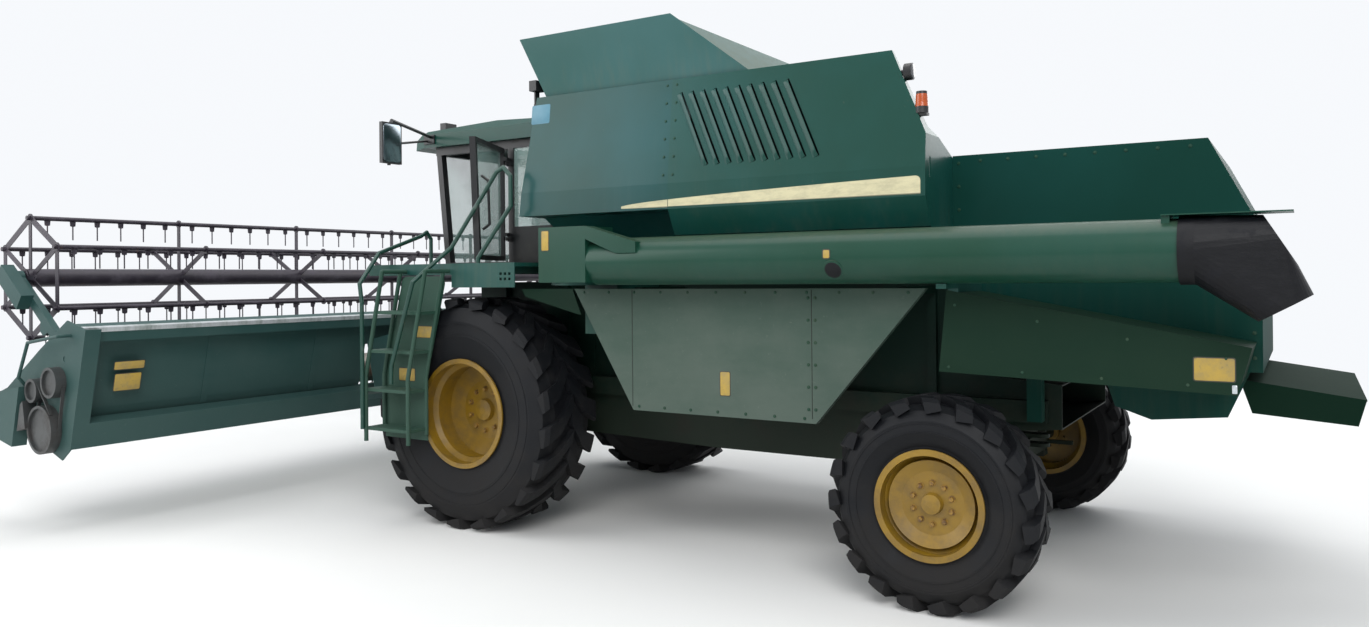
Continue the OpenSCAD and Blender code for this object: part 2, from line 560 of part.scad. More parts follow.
// Cab: floor, posts, sills and headers as one welded frame.
cab_z1 = cab_z0 + cab_h;
hinge_y = cab_w + 20;
door_x = cab_x1 - post - gap - door_w;
rake = 110;
module cab_post(x, dx) rotate([90, 0, 0]) linear_extrude(post, center = true) polygon([[x, cab_z0], [x + post, cab_z0],
    [x + post + dx, cab_z1], [x + dx, cab_z1]]);
module cab_frame() color(black) from_axle() {
    box([-cab_x0, -cab_w, cab_z0 - 60], [cab_x1, cab_w, cab_z0]);
    both() {
        translate([0, cab_w - post / 2, 0]) {
            cab_post(-cab_x0, 0);
            cab_post(cab_x1 - post, rake);
        }
        box([-cab_x0, cab_w - post, cab_z1 - 70], [cab_x1 + rake, cab_w, cab_z1]);
    }
    // Door post on the left, window post on the right.
    translate([0, cab_w - post / 2, 0]) cab_post(door_x - gap - post, 0);
    translate([0, -cab_w + post / 2, 0]) cab_post(door_x - gap - post, 0);
    for (x = [-cab_x0, cab_x1 + rake - post]) box([x, -cab_w + 1, cab_z1 - 70], [x + post, cab_w - 1, cab_z1]);
    box([-cab_x0, -cab_w + post - 1, cab_z0 - 1], [-cab_x0 + 40, cab_w - post + 1, cab_z0 + 380]);
    box([-cab_x0, cab_w - post, cab_z0 - 1], [door_x - gap, cab_w, cab_z0 + 300]);
    // Hinge lugs of the door.
    for (z = [cab_z0 + 180, cab_z1 - 220]) difference() {
        box([door_x - 60, cab_w - 1, z], [door_x, hinge_y + 14, z + 30]);
        translate([door_x - 20, hinge_y, z - 1]) cylinder(h = 32, r = 8 + fit, $fn = 24);
    }
}

// Roof: a rounded cap with a visor over the windscreen.
module cab_roof() color(green) from_axle() {
    difference() {
        side_prism([[-cab_x0 - 40, cab_z1 + seat], [-cab_x0 - 60, cab_z1 + 60], [-cab_x0, cab_z1 + 150], [300, cab_z1 + 190],
            [cab_x1 + 180, cab_z1 + 150], [cab_x1 + 290, cab_z1 + 70], [cab_x1 + 300, cab_z1 - 20], [cab_x1 + 200, cab_z1 + seat]],
            -cab_w - 60, cab_w + 60);
        for (s = [-1, 1]) translate([0, s * (cab_w + 60), cab_z1 + 190]) rotate([45, 0, 0])
            box([-cab_x0 - 200, -50, -50], [cab_x1 + 400, 50, 50]);
    }
}

// Window panes seated between the posts.
module cab_glass() color([0.7, 0.8, 0.8, 0.4]) from_axle() {
    m = 10;
    z0 = cab_z0 + seat;
    z1 = cab_z1 - 70 - seat;
    k = rake / cab_h;
    // Windscreen.
    side_prism([[cab_x1 - 30, z0], [cab_x1 - 30 + glass_t, z0], [cab_x1 - 30 + glass_t + (z1 - z0) * k, z1],
        [cab_x1 - 30 + (z1 - z0) * k, z1]], -cab_w + post + seat, cab_w - post - seat);
    // Right side panes, fore and aft of the post.
    side_prism([[door_x - gap + seat, z0], [cab_x1 - post - seat, z0], [cab_x1 - post - seat + (z1 - z0) * k, z1],
        [door_x - gap + seat, z1]], -cab_w + m, -cab_w + m + glass_t);
    box([-cab_x0 + post + seat, -cab_w + m, z0], [door_x - gap - post - seat, -cab_w + m + glass_t, z1]);
    // Left pane behind the door, above its sill.
    box([-cab_x0 + post + seat, cab_w - m - glass_t, cab_z0 + 300 + seat], [door_x - gap - post - seat, cab_w - m, z1]);
    // Rear pane.
    box([-cab_x0 + m, -cab_w + post + seat, cab_z0 + 380 + seat], [-cab_x0 + m + glass_t, cab_w - post - seat, z1]);
}

// Cab door: a tube frame round one pane, swung open on its rear post.
module door_at() from_axle() translate([door_x - 20, hinge_y, 0]) rotate([0, 0, door_open]) children();
door_z0 = cab_z0 + gap;
door_z1 = cab_z1 - 70 - gap;
function door_pts(t) = [[20 + t, door_z0 + t], [20 + door_w - 20 - t, door_z0 + t], [20 + door_w - 20 - t + (door_z1 - door_z0 - 2 * t) * rake / cab_h, door_z1 - t],
    [20 + t, door_z1 - t]];
module door_frame() color(black) door_at() {
    difference() {
        side_prism(door_pts(0), -20 - post + 12, -20);
        side_prism(door_pts(38), -20 - post, -19);
    }
    for (z = [cab_z0 + 180, cab_z1 - 220]) difference() {
        union() {
            box([-2, -14, z + 36], [70, 9, z + 66]);
            box([22, -21, z + 36], [70, -13, z + 66]);
            translate([0, 0, z + 36]) cylinder(h = 30, r = 16, $fn = 24);
            translate([0, 0, z - 8]) cylinder(h = 50, r = 8, $fn = 24);
        }
    }
    bent([[door_w - 90, -24, cab_z0 + 250], [door_w - 90, 30, cab_z0 + 290], [door_w - 60, 30, cab_z0 + 640], [door_w - 60, -24, cab_z0 + 680]], 11);
}
module door_glass() color([0.7, 0.8, 0.8, 0.4]) door_at()
    side_prism(door_pts(38 + seat), -20 - post / 2 - glass_t, -20 - post / 2);

// Seat, steering column and console inside the cab.
module operator_station() color(black) from_axle() {
    box([-100, -180, cab_z0], [200, 180, cab_z0 + 300]);
    box([-160, -250, cab_z0 + 299], [320, 250, cab_z0 + 420]);
    side_prism([[-260, cab_z0 + 380], [-150, cab_z0 + 380], [-200, cab_z0 + 950], [-290, cab_z0 + 940]], -230, 230);
    box([-150, -480, cab_z0], [420, -290, cab_z0 + 560]);
    box([560, -60, cab_z0], [680, 60, cab_z0 + 70]);
    rod([620, 0, cab_z0 + 20], [560, 0, cab_z0 + 600], 45);
    translate([545, 0, cab_z0 + 620]) rotate([0, -20, 0]) rotate_extrude() translate([185, 0]) circle(r = 14, $fn = 20);
    translate([545, 0, cab_z0 + 610]) rotate([0, -20, 0]) for (a = [0, 60, 120]) rotate([0, 0, a]) box([-185, -12, 0], [185, 12, 14]);
}

// Deck beside the cab with its skirt, step box and outriggers.
deck_x1 = 1020;
deck_x0 = 600;
module platform() color(green) from_axle() {
    y0 = cab_w + 64;
    box([-deck_x0, y0, deck_z - 30], [deck_x1, deck_y, deck_z]);
    difference() {
        box([-deck_x0, deck_y - 8, deck_z - 190], [60, deck_y, deck_z - 29]);
        for (x = [-deck_x0 + 40 : 44 : -deck_x0 + 130], z = [deck_z - 135, deck_z - 95]) translate([x, deck_y - 10, z])
            cube([24, 12, 20]);
    }
    box([60, deck_y - 8, deck_z - 90], [deck_x1, deck_y, deck_z - 29]);
    box([deck_x1 - 8, y0, deck_z - 90], [deck_x1, deck_y, deck_z - 29]);
    for (x = [-430, 250]) {
        box([x - 30, cab_w - 4, cab_z0 - 110], [x + 30, y0 + 1, cab_z0 - 60]);
        box([x - 30, y0, cab_z0 - 110], [x + 30, deck_y - 60, deck_z - 29]);
    }
}

// Ladder outboard of the front tyre, its treads between two stringers and a shield.
lad_y = 1890;
lad_x0 = 290;
lad_x1 = 776;
foot_z = 680;
lad_top = deck_z - 60;
lad_lean = 200;
function lad_dx(z) = z < 1200 ? 0 : -lad_lean * (z - 1200) / (lad_top - 1200);
module ladder() color(green) from_axle() {
    y0 = deck_y + 40;
    for (x = [lad_x0, lad_x1]) {
        bent([[x, lad_y, foot_z], [x, lad_y, 1200], [x - lad_lean, lad_y, lad_top], [x - lad_lean, deck_y + seat, lad_top]], rail_r);
        bent([[x, y0 + 20, foot_z + 60], [x, y0 + 20, 1200], [x - lad_lean, y0 + 20, lad_top]], rail_r);
    }
    for (i = [0 : steps - 1]) {
        z = foot_z + 90 + i * step_p;
        box([lad_x0 + lad_dx(z), y0 + 20, z], [lad_x1 + lad_dx(z), lad_y, z + 25]);
    }
    // Shield behind the treads with rounded upper corners.
    side_prism(concat([[lad_x1, foot_z + 10], [lad_x0, foot_z + 10], [lad_x0, 1200]],
        [for (a = [180 : -15 : 90]) [lad_x0 - lad_lean + 60 + 60 * cos(a), lad_top - 100 + 60 * sin(a)]],
        [for (a = [90 : -15 : 0]) [lad_x1 - lad_lean - 60 + 60 * cos(a), lad_top - 100 + 60 * sin(a)]], [[lad_x1, 1200]]), y0, y0 + sheet);
}

// Handrails: bent tubes along the deck's edge and at the ladder's head.
module handrails() color(green) from_axle() {
    y = deck_y - 19;
    z = deck_z + seat;
    bent([[-210, y, z], [-210, y, z + 40], [-550, y, z + 430], [-550, y, z + 660], [-480, y, z + 730], [-410, y, z + 700],
        [75, y, z + 130], [185, lad_y + 40, 1960], [430, lad_y + 40, 1300], [440, lad_y + rail_r * 2 + 1, 1160]], rail_r);
    bent([[1000, 960, z], [1000, 960, z + 240], [1000, 1010, z + 300], [1000, 1080, z + 260], [900, 1640, z + 100], [800, lad_y + 36, 1950],
        [lad_x1, lad_y + 36, 1800], [lad_x1, lad_y + 36, foot_z + 100]], rail_r);
}

// Side shields: big folded panels hinged along their top edge.
function shield_pts(t) = [[-1050 - t, shield_z1 - t], [-3740 + t * 1.6, shield_z1 - t], [-3010 + t * 0.4, shield_z0 + t], [-1580 - t, shield_z0 + t]];
module side_shield(s) color(dust) from_axle() mirror([0, s < 0 ? 1 : 0, 0]) {
    difference() {
        side_prism(shield_pts(0), shield_y - 46, shield_y);
        side_prism(shield_pts(sheet), shield_y - 47, shield_y - sheet);
    }
    // Stiffening ribs inside and the hinge tube along the top.
    for (x = [-1900, -2900]) box([x - 20, shield_y - 30, shield_z0 + 4], [x + 20, shield_y - sheet + 1, shield_z1 - 4]);
    y0 = shield_y - 46;
    translate([-3500, y0 + 12, shield_z1 - 14]) rotate([0, 90, 0]) cylinder(h = 2300, r = 12, $fn = 24);
}
module side_shield_left() side_shield(1);
module side_shield_right() side_shield(-1);

// Fixed shields: fender ahead of the side shields, rear drive covers and the tube's saddle.
module rear_shields() color(dust) from_axle() both() {
    side_prism([[-tank_x, shield_z1], [-1030, shield_z1], [-1110, shield_z1 - 190], [-1085, shield_z1 - 190], [-tank_x - 40, shield_z1 - 60]],
        shield_y - sheet, shield_y);
    box([-swing_x + 160, sep_w, shield_z1 - sheet], [-tank_x, shield_y - 1, shield_z1]);
    difference() {
        side_prism([[-3860, 1890], [-5450, 1590], [-5380, 1340], [-3810, 1400]], hood_w, shield_y - 20);
        side_prism([[-3860 - sheet, 1890 - sheet - 3], [-5450 + sheet, 1590 - sheet], [-5380 + sheet, 1300], [-3810 - sheet, 1300]],
            hood_w - 1, shield_y - 20 - sheet);
    }
}

// Feeder house: a box duct from the hinge down to the header, with lugs for its lift cylinders.
feed_a = 26.8;
feed_l = (back_x - 127 - hinge_x) / cos(feed_a);
feed_t = 500;
module feeder_house() color(green) raised() translate([hinge_x, 0, hinge_z]) rotate([0, feed_a, 0]) {
    difference() {
        union() {
            box([0, -feed_w, -feed_t / 2], [feed_l, feed_w, feed_t / 2]);
            y_cyl(0, -feed_w, feed_w, 0, feed_t / 2);
        }
        box([-feed_t, -feed_w + sheet, -feed_t / 2 + sheet], [feed_l + 1, feed_w - sheet, feed_t / 2 - sheet]);
        y_cyl(0, -feed_w - 1, feed_w + 1, 0, 40 + fit);
    }
    both() difference() {
        y_cyl(0, feed_w - sheet, feed_w + 14, 0, 75);
        y_cyl(0, feed_w - sheet - 1, feed_w + 15, 0, 40 + fit);
    }
    // Stiffening hoops round the duct.
    for (x = [520, 1000]) difference() {
        box([x, -feed_w - 30, -feed_t / 2 - 30], [x + 60, feed_w + 30, feed_t / 2 + 30]);
        box([x - 1, -feed_w + 1, -feed_t / 2 + 1], [x + 61, feed_w - 1, feed_t / 2 - 1]);
    }
    both() for (y = [lift_y - lug_g - 20, lift_y + lug_g]) {
        side_prism([[eye_s - 90, -feed_t / 2 + 1], [eye_s - 40, -eye_d - 40], [eye_s + 40, -eye_d - 40], [eye_s + 90, -feed_t / 2 + 1]], y, y + 20);
    }
    both() y_cyl(eye_s, lift_y - lug_g - 21, lift_y + lug_g + 21, -eye_d, 20);
}

// Lift cylinders between the axle and the feeder house, drawn along their own line.
lift_y = 400;
lug_g = 54;
cyl_x = 260;
cyl_z = 760;
eye_s = 1250;
eye_d = 330;
eye_f = turn(eye_s, -eye_d, -feed_a + lift);
eye_p = [hinge_x + eye_f[0] - cyl_x, hinge_z + eye_f[1] - cyl_z];
cyl_a = atan2(eye_p[1], eye_p[0]);
cyl_l = norm(eye_p);
barrel_l = 860;
eye_play = 4.6;
module lift_line() from_axle() translate([cyl_x, 0, cyl_z]) rotate([0, -cyl_a, 0]) both() translate([0, lift_y, 0]) children();
module lift_barrels() color(black) lift_line() {
    difference() {
        union() {
            rotate([0, 90, 0]) translate([0, 0, 30]) cylinder(h = barrel_l - 30, r = 48);
            y_cyl(0, -lug_g + 14, lug_g - 14, 0, 54);
        }
        rotate([0, 90, 0]) translate([0, 0, 90]) cylinder(h = barrel_l, r = 35 + fit);
    }
    y_cyl(0, -lug_g - 21, lug_g + 21, 0, 20);
}
module lift_rods() color([0.8, 0.8, 0.8]) lift_line() {
    difference() {
        union() {
            rotate([0, 90, 0]) translate([0, 0, 300]) cylinder(h = cyl_l - 330, r = 35);
            y_cyl(cyl_l, -lug_g + 4, lug_g - 4, 0, 46);
        }
        y_cyl(cyl_l, -lug_g, lug_g, 0, 20 + eye_play);
    }
}

// Header frame: back sheet and trough rolled in one piece, beams behind, end sheets and pointed dividers.
auger_x = back_x + 320;
trough_r = flight_r + 22;
head_t = 6;
function trough(r) = [for (a = [180 : 10 : 290]) [auger_x + r * cos(a), auger_z + r * sin(a)]];
module header_frame() color(green) raised() {
    difference() {
        side_prism(concat([[auger_x - trough_r, back_z], [auger_x - trough_r - head_t, back_z]], trough(trough_r + head_t),
            [[knife_x - 60, 40], [knife_x, 44], [knife_x, 52], [knife_x - 60, 52]], [for (i = [len(trough(1)) - 1 : -1 : 0]) trough(trough_r)[i]]),
            -head_w, head_w);
        // Way through to the feeder house.
        box([back_x - 60, -feed_w + 10, 430], [auger_x - 200, feed_w - 10, 860]);
    }
    // Top beam with its bright lip, and the lower beam with its skid shoes.
    difference() {
        box([back_x - 120, -head_w, back_z - 110], [auger_x - trough_r - head_t + 1, head_w, back_z]);
        box([back_x - 112, -head_w - 1, back_z - 102], [auger_x - trough_r - head_t - 7, head_w + 1, back_z - 8]);
    }
    for (s = [-1, 1]) box([back_x - 160, s > 0 ? feed_w + 30 : -head_w, 240], [back_x - 20, s > 0 ? head_w : -feed_w - 30, 440]);
    box([back_x - 160, -feed_w - 31, 240], [back_x - 20, feed_w + 31, 320]);
    for (y = [-2600, -1500, 1500, 2600]) side_prism([[auger_x - 80, auger_z - trough_r + 7], [auger_x - 20, 60], [auger_x + 80, 34],
        [knife_x - 200, 34], [knife_x - 200, 110], [auger_x + 105, 213], [auger_x, auger_z - trough_r - 3]], y - 60, y + 60);
    // Seam straps on the back sheet and flanges at its ends.
    for (y = [-2200, -1100, 1100, 2200]) box([auger_x - trough_r - head_t - 5, y - 30, 439], [auger_x - trough_r - head_t + 1, y + 30, back_z - 109]);
    both() box([back_x - 160, head_w - 110, 439], [back_x - 152, head_w + 1, back_z - 1]);
    // Guard tube over the left end's drive.
    bent([[back_x + 40, head_w + 5, 1100], [back_x + 40, head_w + 106, 1100], [auger_x + 150, head_w + 106, 930],
        [knife_x - 300, head_w + 106, 620], [knife_x - 300, head_w + 5, 500]], 13);
    // End sheets with dividers.
    both() difference() {
        union() {
            side_prism([[back_x - 160, 240], [back_x - 60, 120], [auger_x, 150], [knife_x, 40], [knife_x + 500, 110], [knife_x + 480, 160], [knife_x + 60, 420],
                [auger_x + 160, 860], [back_x + 120, back_z], [back_x - 160, back_z]], head_w, head_w + 10);
            hull() {
                side_prism([[knife_x - 350, 60], [knife_x - 20, 44], [knife_x - 20, 420], [knife_x - 350, 560]], head_w + 9, head_w + 120);
                side_prism([[knife_x + 460, 105], [knife_x + 500, 110], [knife_x + 480, 150]], head_w + 9, head_w + 40);
            }
            y_cyl(arm_x, head_w - 12, head_w + 1, arm_z, 45);
        }
        y_cyl(arm_x, head_w - 13, head_w + 11, arm_z, 22 + fit);
        y_cyl(ram_x, head_w - 13, head_w + 11, ram_z, 15 + fit);
    }
}

// Cross auger: opposed flighting on a tube, with retracting fingers in the middle.
module flight(h, hand) linear_extrude(h, twist = hand * 360 * h / 500, slices = round(h / 28), segments = 4) polygon([for (p = [[auger_r - 4, -6],
    [flight_r, -2.4], [flight_r, 2.4], [auger_r - 4, 6]]) [p[0] * cos(p[1]), p[0] * sin(p[1])]]);
module header_auger() color(grey) raised() translate([auger_x, 0, auger_z]) {
    w = head_w - 90;
    difference() {
        y_cyl(0, -w, w, 0, auger_r);
        both() y_cyl(0, w - 60, w + 1, 0, 35 + fit);
    }
    both() translate([0, w, 0]) rotate([90, 0, 0]) flight(w - 650, 1);
    for (i = [0 : 9]) rotate([0, i * 108, 0]) translate([0, -540 + i * 120, auger_r - 6]) cylinder(h = 118, r = 8, $fn = 12);
}

// Cutter bar: one bar with pointed guards at an even pitch.
guard_n = floor(2 * (head_w - 60) / guard_p);
function guards() = concat([[knife_x - 60, -guard_n * guard_p / 2], [knife_x - 60, guard_n * guard_p / 2]],
    [for (i = [guard_n : -1 : 1]) let (y = (i - guard_n / 2) * guard_p) each [[knife_x, y - 8], [knife_x + 20, y - guard_p / 2 + 15],
        [knife_x + 110, y - guard_p / 2 + 3], [knife_x + 110, y - guard_p / 2 - 3], [knife_x + 20, y - guard_p / 2 - 15], [knife_x, y - guard_p + 8]]]);
module cutter_bar() color(grey) raised() {
    translate([0, 0, 52 + seat]) linear_extrude(22) polygon(guards());
    box([knife_x - 75, -head_w + 30, 74.2], [knife_x - 5, head_w - 30, 80]);
}

// Reel arms at both ends with the lugs for their rams, and the stay between them at the back.
arm_y = head_w - 46;
module arms_at() raised() translate([arm_x, 0, arm_z]) rotate([0, -arm_a, 0]) children();
module reel_arms() color(green) arms_at() {
    both() reel_arm();
    // Drive case on the left arm's head.
    difference() {
        box([arm_l - 330, arm_y + 24, -70], [arm_l + 90, arm_y + 120, 70]);
        y_cyl(arm_l, arm_y + 20, arm_y + 31, 0, 30 + fit);
    }
}
module reel_arm() {
    difference() {
        union() {
            box([0, arm_y - 25, -40], [arm_l, arm_y + 25, 40]);
            y_cyl(0, arm_y - 25, arm_y + 25, 0, 50);
            y_cyl(arm_l, arm_y - 25, arm_y + 25, 0, 60);
        }
        y_cyl(arm_l, arm_y - 26, arm_y + 26, 0, 30 + fit);
    }
    y_cyl(0, arm_y - 10, head_w + 6, 0, 22);
    for (y = [arm_y - 25, arm_y + 15])
        side_prism([[ram_s - 70, -39], [ram_s - 30, -ram_d - 30], [ram_s + 30, -ram_d - 30], [ram_s + 70, -39]], y, y + 10);
    y_cyl(ram_s, arm_y - 25, arm_y + 25, -ram_d, 13);
}

// Reel rams beside the trough ends.
ram_x = back_x + 160;
ram_z = 450;
ram_s = 450;
ram_d = 75;
ram_e = turn(ram_s, -ram_d, arm_a);
ram_v = [arm_x + ram_e[0] - ram_x, arm_z + ram_e[1] - ram_z];
ram_a = atan2(ram_v[1], ram_v[0]);
ram_l = norm(ram_v);
ram_play = 4.6;
module ram_line() raised() translate([ram_x, 0, ram_z]) rotate([0, -ram_a, 0]) both() translate([0, arm_y, 0]) children();
module reel_barrels() color(black) ram_line() {
    difference() {
        union() {
            rotate([0, 90, 0]) translate([0, 0, 20]) cylinder(h = 380, r = 22);
            y_cyl(0, -14, 14, 0, 24);
        }
        rotate([0, 90, 0]) translate([0, 0, 50]) cylinder(h = 380, r = 13 + fit);
    }
    y_cyl(0, -15, head_w - arm_y + 6, 0, 15);
}
module reel_rods() color([0.8, 0.8, 0.8]) ram_line() {
    difference() {
        union() {
            rotate([0, 90, 0]) translate([0, 0, 240]) cylinder(h = ram_l - 240 - 20, r = 13);
            y_cyl(ram_l, -14, 14, 0, 25);
        }
        y_cyl(ram_l, -15, 15, 0, 13 + ram_play);
    }
}

// Reel: a tube with spiders that carry six bats, each with its row of tines.
reel_w = arm_y - 50;
bat_n = 6;
function bat_at(i) = turn(bat_r, 0, i * 360 / bat_n + 30);
module reel_at() raised() translate([arm_x, 0, arm_z]) rotate([0, -arm_a, 0]) translate([arm_l, 0, 0]) rotate([0, arm_a + lift, 0]) children();
spider_p = (2 * reel_w - 80) / (spiders - 1);
module reel_spiders() color([0.15, 0.1, 0.14]) reel_at() {
    y_cyl(0, -reel_w, reel_w, 0, 75);
    y_cyl(0, -arm_y - 25, arm_y + 25, 0, 30);
    for (j = [0 : spiders - 1]) translate([0, -reel_w + 40 + j * spider_p, 0]) {
        for (i = [0 : bat_n - 1]) rotate([0, -i * 360 / bat_n - 30, 0]) box([60, -4, -22], [bat_r - 20, 4, 22]);
        difference() {
            for (i = [0 : bat_n - 1]) translate([bat_at(i)[0], 0, bat_at(i)[1]]) y_cyl(0, -6, 6, 0, 36);
            for (i = [0 : bat_n - 1]) translate([bat_at(i)[0], 0, bat_at(i)[1]]) y_cyl(0, -7, 7, 0, 19 + fit);
        }
    }
    for (j = [0, spiders - 1], i = [0 : bat_n - 1]) translate([0, -reel_w + 40 + j * spider_p, 0])
        rotate([0, -i * 360 / bat_n - 30, 0]) translate([bat_r, 0, 0]) rotate([0, -120, 0]) box([27, -3, -27], [bat_r - 27, 3, 27]);
}
// Cam plates on the reel's shaft that keep the tines upright as the arms move.
module reel_cam() color(black) reel_at() both() difference() {
    union() {
        y_cyl(0, reel_w + 7, reel_w + 17, 0, 72);
        box([-190, reel_w + 7, -18], [0, reel_w + 17, 18]);
        y_cyl(-190, reel_w + 7, reel_w + 17, 0, 26);
    }
    y_cyl(0, reel_w + 6, reel_w + 18, 0, 30 + fit);
    y_cyl(-190, reel_w + 6, reel_w + 18, 0, 10);
}
tine_n = floor(spider_p / tine_p) - 1;
function comb(w) = concat([[0, 0], [w, 0]], [for (i = [tine_n : -1 : 0]) let (y = w * (i + 0.5) / (tine_n + 1))
    each [[y + 24, 0], [y + 20, -45], [y + 4, -50], [y + 4, -tine_l], [y - 4, -tine_l], [y - 4, -50], [y - 20, -45], [y - 24, 0]]]);
module bat(i) color(black) reel_at() translate([bat_at(i)[0], 0, bat_at(i)[1]]) {
    y_cyl(0, -reel_w + 10, reel_w - 10, 0, 19);
    for (j = [0 : spiders - 2]) translate([-4, -reel_w + 70 + j * spider_p, -12]) rotate([90, 0, 90])
        linear_extrude(8) polygon(comb(spider_p - 60));
}
module bat_1() bat(0);
module bat_2() bat(1);
module bat_3() bat(2);
module bat_4() bat(3);
module bat_5() bat(4);
module bat_6() bat(5);

// Drives on the header's ends: knife drive with its pulleys on the left, chain case on the right.
function tangent(p, q, k) = let (d = [q[0] - p[0], q[1] - p[1]], a = atan2(d[1], d[0]) + k * acos((p[2] - q[2]) / norm(d)),
    n = [cos(a), sin(a)]) [for (c = [[p, -1], [q, -1], [q, 7], [p, 7]]) [c[0][0] + (c[0][2] + c[1]) * n[0], c[0][1] + (c[0][2] + c[1]) * n[1]]];
module header_drive() color(grey) raised() {
    y0 = head_w + 10;
    big = [back_x + 180, 300, 190];
    small = [back_x + 130, 700, 120];
    knife = [auger_x + 60, 560, 95];
    for (p = [big, small, knife]) difference() {
        y_cyl(p[0], y0, y0 + 80, p[1], p[2]);
        y_cyl(p[0], y0 + 60, y0 + 81, p[1], p[2] - 22);
    }
    // Belts round the pulleys.
    for (k = [-1, 1]) {
        side_prism(k > 0 ? tangent(big, small, k) : tangent(small, big, 1), y0 + 12, y0 + 36);
        side_prism(k > 0 ? tangent(big, knife, k) : tangent(knife, big, 1), y0 + 46, y0 + 70);
    }
    side_prism([[auger_x + 30, 260], [knife_x - 380, 200], [knife_x - 380, 420], [auger_x + 120, 460]], y0, y0 + 100);
    // Stub journals that carry the auger's ends.
    both() y_cyl(auger_x, head_w - 145, head_w, auger_z, 35);
    mirror([0, 1, 0]) {
        side_prism([[back_x + 30, 260], [back_x + 330, 230], [auger_x + 120, 600], [back_x + 260, 900], [back_x + 60, 900]], y0, y0 + 110);
    }
}

// Unloading auger: fixed base with its turntable collar.
joint_z = 2035;
collar_z = shield_z1 + 30;
module swing_axis() from_axle() translate([-swing_x, tube_y, joint_z]) rotate([0, -swing_a, 0]) children();
module unload_base() color(green) {
    intersection() {
        swing_axis() translate([0, 0, -300]) cylinder(h = 300 - 1, r = 140);
        from_axle() box([-swing_x - 300, 0, collar_z + 2], [-swing_x + 300, 2000, 2300]);
    }
    from_axle() {
        box([-swing_x - 150, sep_w, collar_z], [-swing_x + 150, tube_y, collar_z + 30]);
        translate([-swing_x, tube_y, collar_z]) cylinder(h = 30, r = 150);
        box([-swing_x - 150, sep_w, 1560], [-swing_x + 150, shield_y - 130, collar_z + 1]);
    }
    // Saddle that the folded tube rests on.
    from_axle() difference() {
        side_prism([[-3930, 1877 + seat], [-3870, 1889 + seat], [-3870, 2000], [-3930, 2000]], hood_w, tube_y + 40);
        translate([-4000, tube_y, tube_z]) rotate([0, 90, 0]) cylinder(h = 300, r = tube_r + seat);
        box([-3950, tube_y, tube_z - tube_r - seat], [-3800, tube_y + 200, 2100]);
        box([-3950, shield_y - 20, 1800], [-3800, tube_y + 200, 1900]);
    }
}

// Elbow box on the turntable, with the brace that runs down on the tube.
elbow_l = 212;
elbow_z = 2347;
module unload_elbow() color(green) {
    difference() {
        from_axle() union() {
            box([-swing_x - elbow_l, tube_y - 165, 1900], [-swing_x + elbow_l, tube_y + 165, elbow_z]);
            side_prism([[-swing_x - elbow_l + 1, elbow_z], [-swing_x - 640, 2225], [-swing_x - 640, 2150], [-swing_x - 470, 2150],
                [-swing_x - elbow_l + 1, 2255]], tube_y + 60, tube_y + 165);
        }
        swing_axis() translate([0, 0, -500]) cylinder(h = 500 + seat, r = 700);
        intersection() {
            from_axle() box([-swing_x - elbow_l + sheet, tube_y - 165 + sheet, 1900], [-swing_x + elbow_l - sheet, tube_y + 165 - sheet, elbow_z - sheet]);
            swing_axis() translate([0, 0, sheet]) cylinder(h = 900, r = 700);
        }
        from_axle() translate([-swing_x - elbow_l + 20, tube_y, tube_z]) rotate([0, -90, 0]) cylinder(h = 40, r = tube_r - 6);
        from_axle() translate([-swing_x - elbow_l, tube_y, tube_z]) rotate([0, -90, 0]) cylinder(h = 700, r = tube_r + seat);
    }
    // Skirt of the outer side over the joint.
    from_axle() box([-swing_x - elbow_l, tube_y + 165 - sheet, 1950], [-swing_x + elbow_l, tube_y + 165, 2200]);
}

// Swinging tube with its inspection lid at the end.
module unload_tube() color(green) from_axle() difference() {
    union() {
        translate([-swing_x - elbow_l - seat, tube_y, tube_z]) rotate([0, -90, 0]) cylinder(h = tube_end - swing_x - elbow_l - seat, r = tube_r);
        box([-tube_end + 100, tube_y - 90, tube_z + tube_r - 30], [-tube_end + 140, tube_y + 90, tube_z + tube_r + 19]);
        box([-tube_end - 440, tube_y - 110, tube_z + tube_r + 13], [-tube_end + 140, tube_y + 110, tube_z + tube_r + 19]);
    }
    translate([-swing_x, tube_y, tube_z]) rotate([0, -90, 0]) cylinder(h = tube_end, r = tube_r - 6);
}

// Rubber spout hanging from the tube's end.
module spout_form(t) hull() {
    translate([-tube_end - 12, tube_y, tube_z]) rotate([0, -90, 0]) cylinder(h = 3, r = tube_r + 12 - t, $fn = 32);
    translate([-tube_end - 380, tube_y, tube_z + 42]) rotate([0, -60, 0]) cylinder(h = 3, r = tube_r - 20 - t, $fn = 32);
    translate([-tube_end - 400, tube_y, tube_z - 290]) rotate([0, -150, 0]) cylinder(h = 3 + t, r = tube_r - 30 - t, $fn = 32);
}
module unload_spout() color(black) from_axle() {
    difference() {
        spout_form(0);
        spout_form(9);
    }
    difference() {
        translate([-tube_end + 60, tube_y, tube_z]) rotate([0, -90, 0]) cylinder(h = 76, r = tube_r + 12);
        translate([-tube_end + 61, tube_y, tube_z]) rotate([0, -90, 0]) cylinder(h = 80, r = tube_r + seat);
    }
}

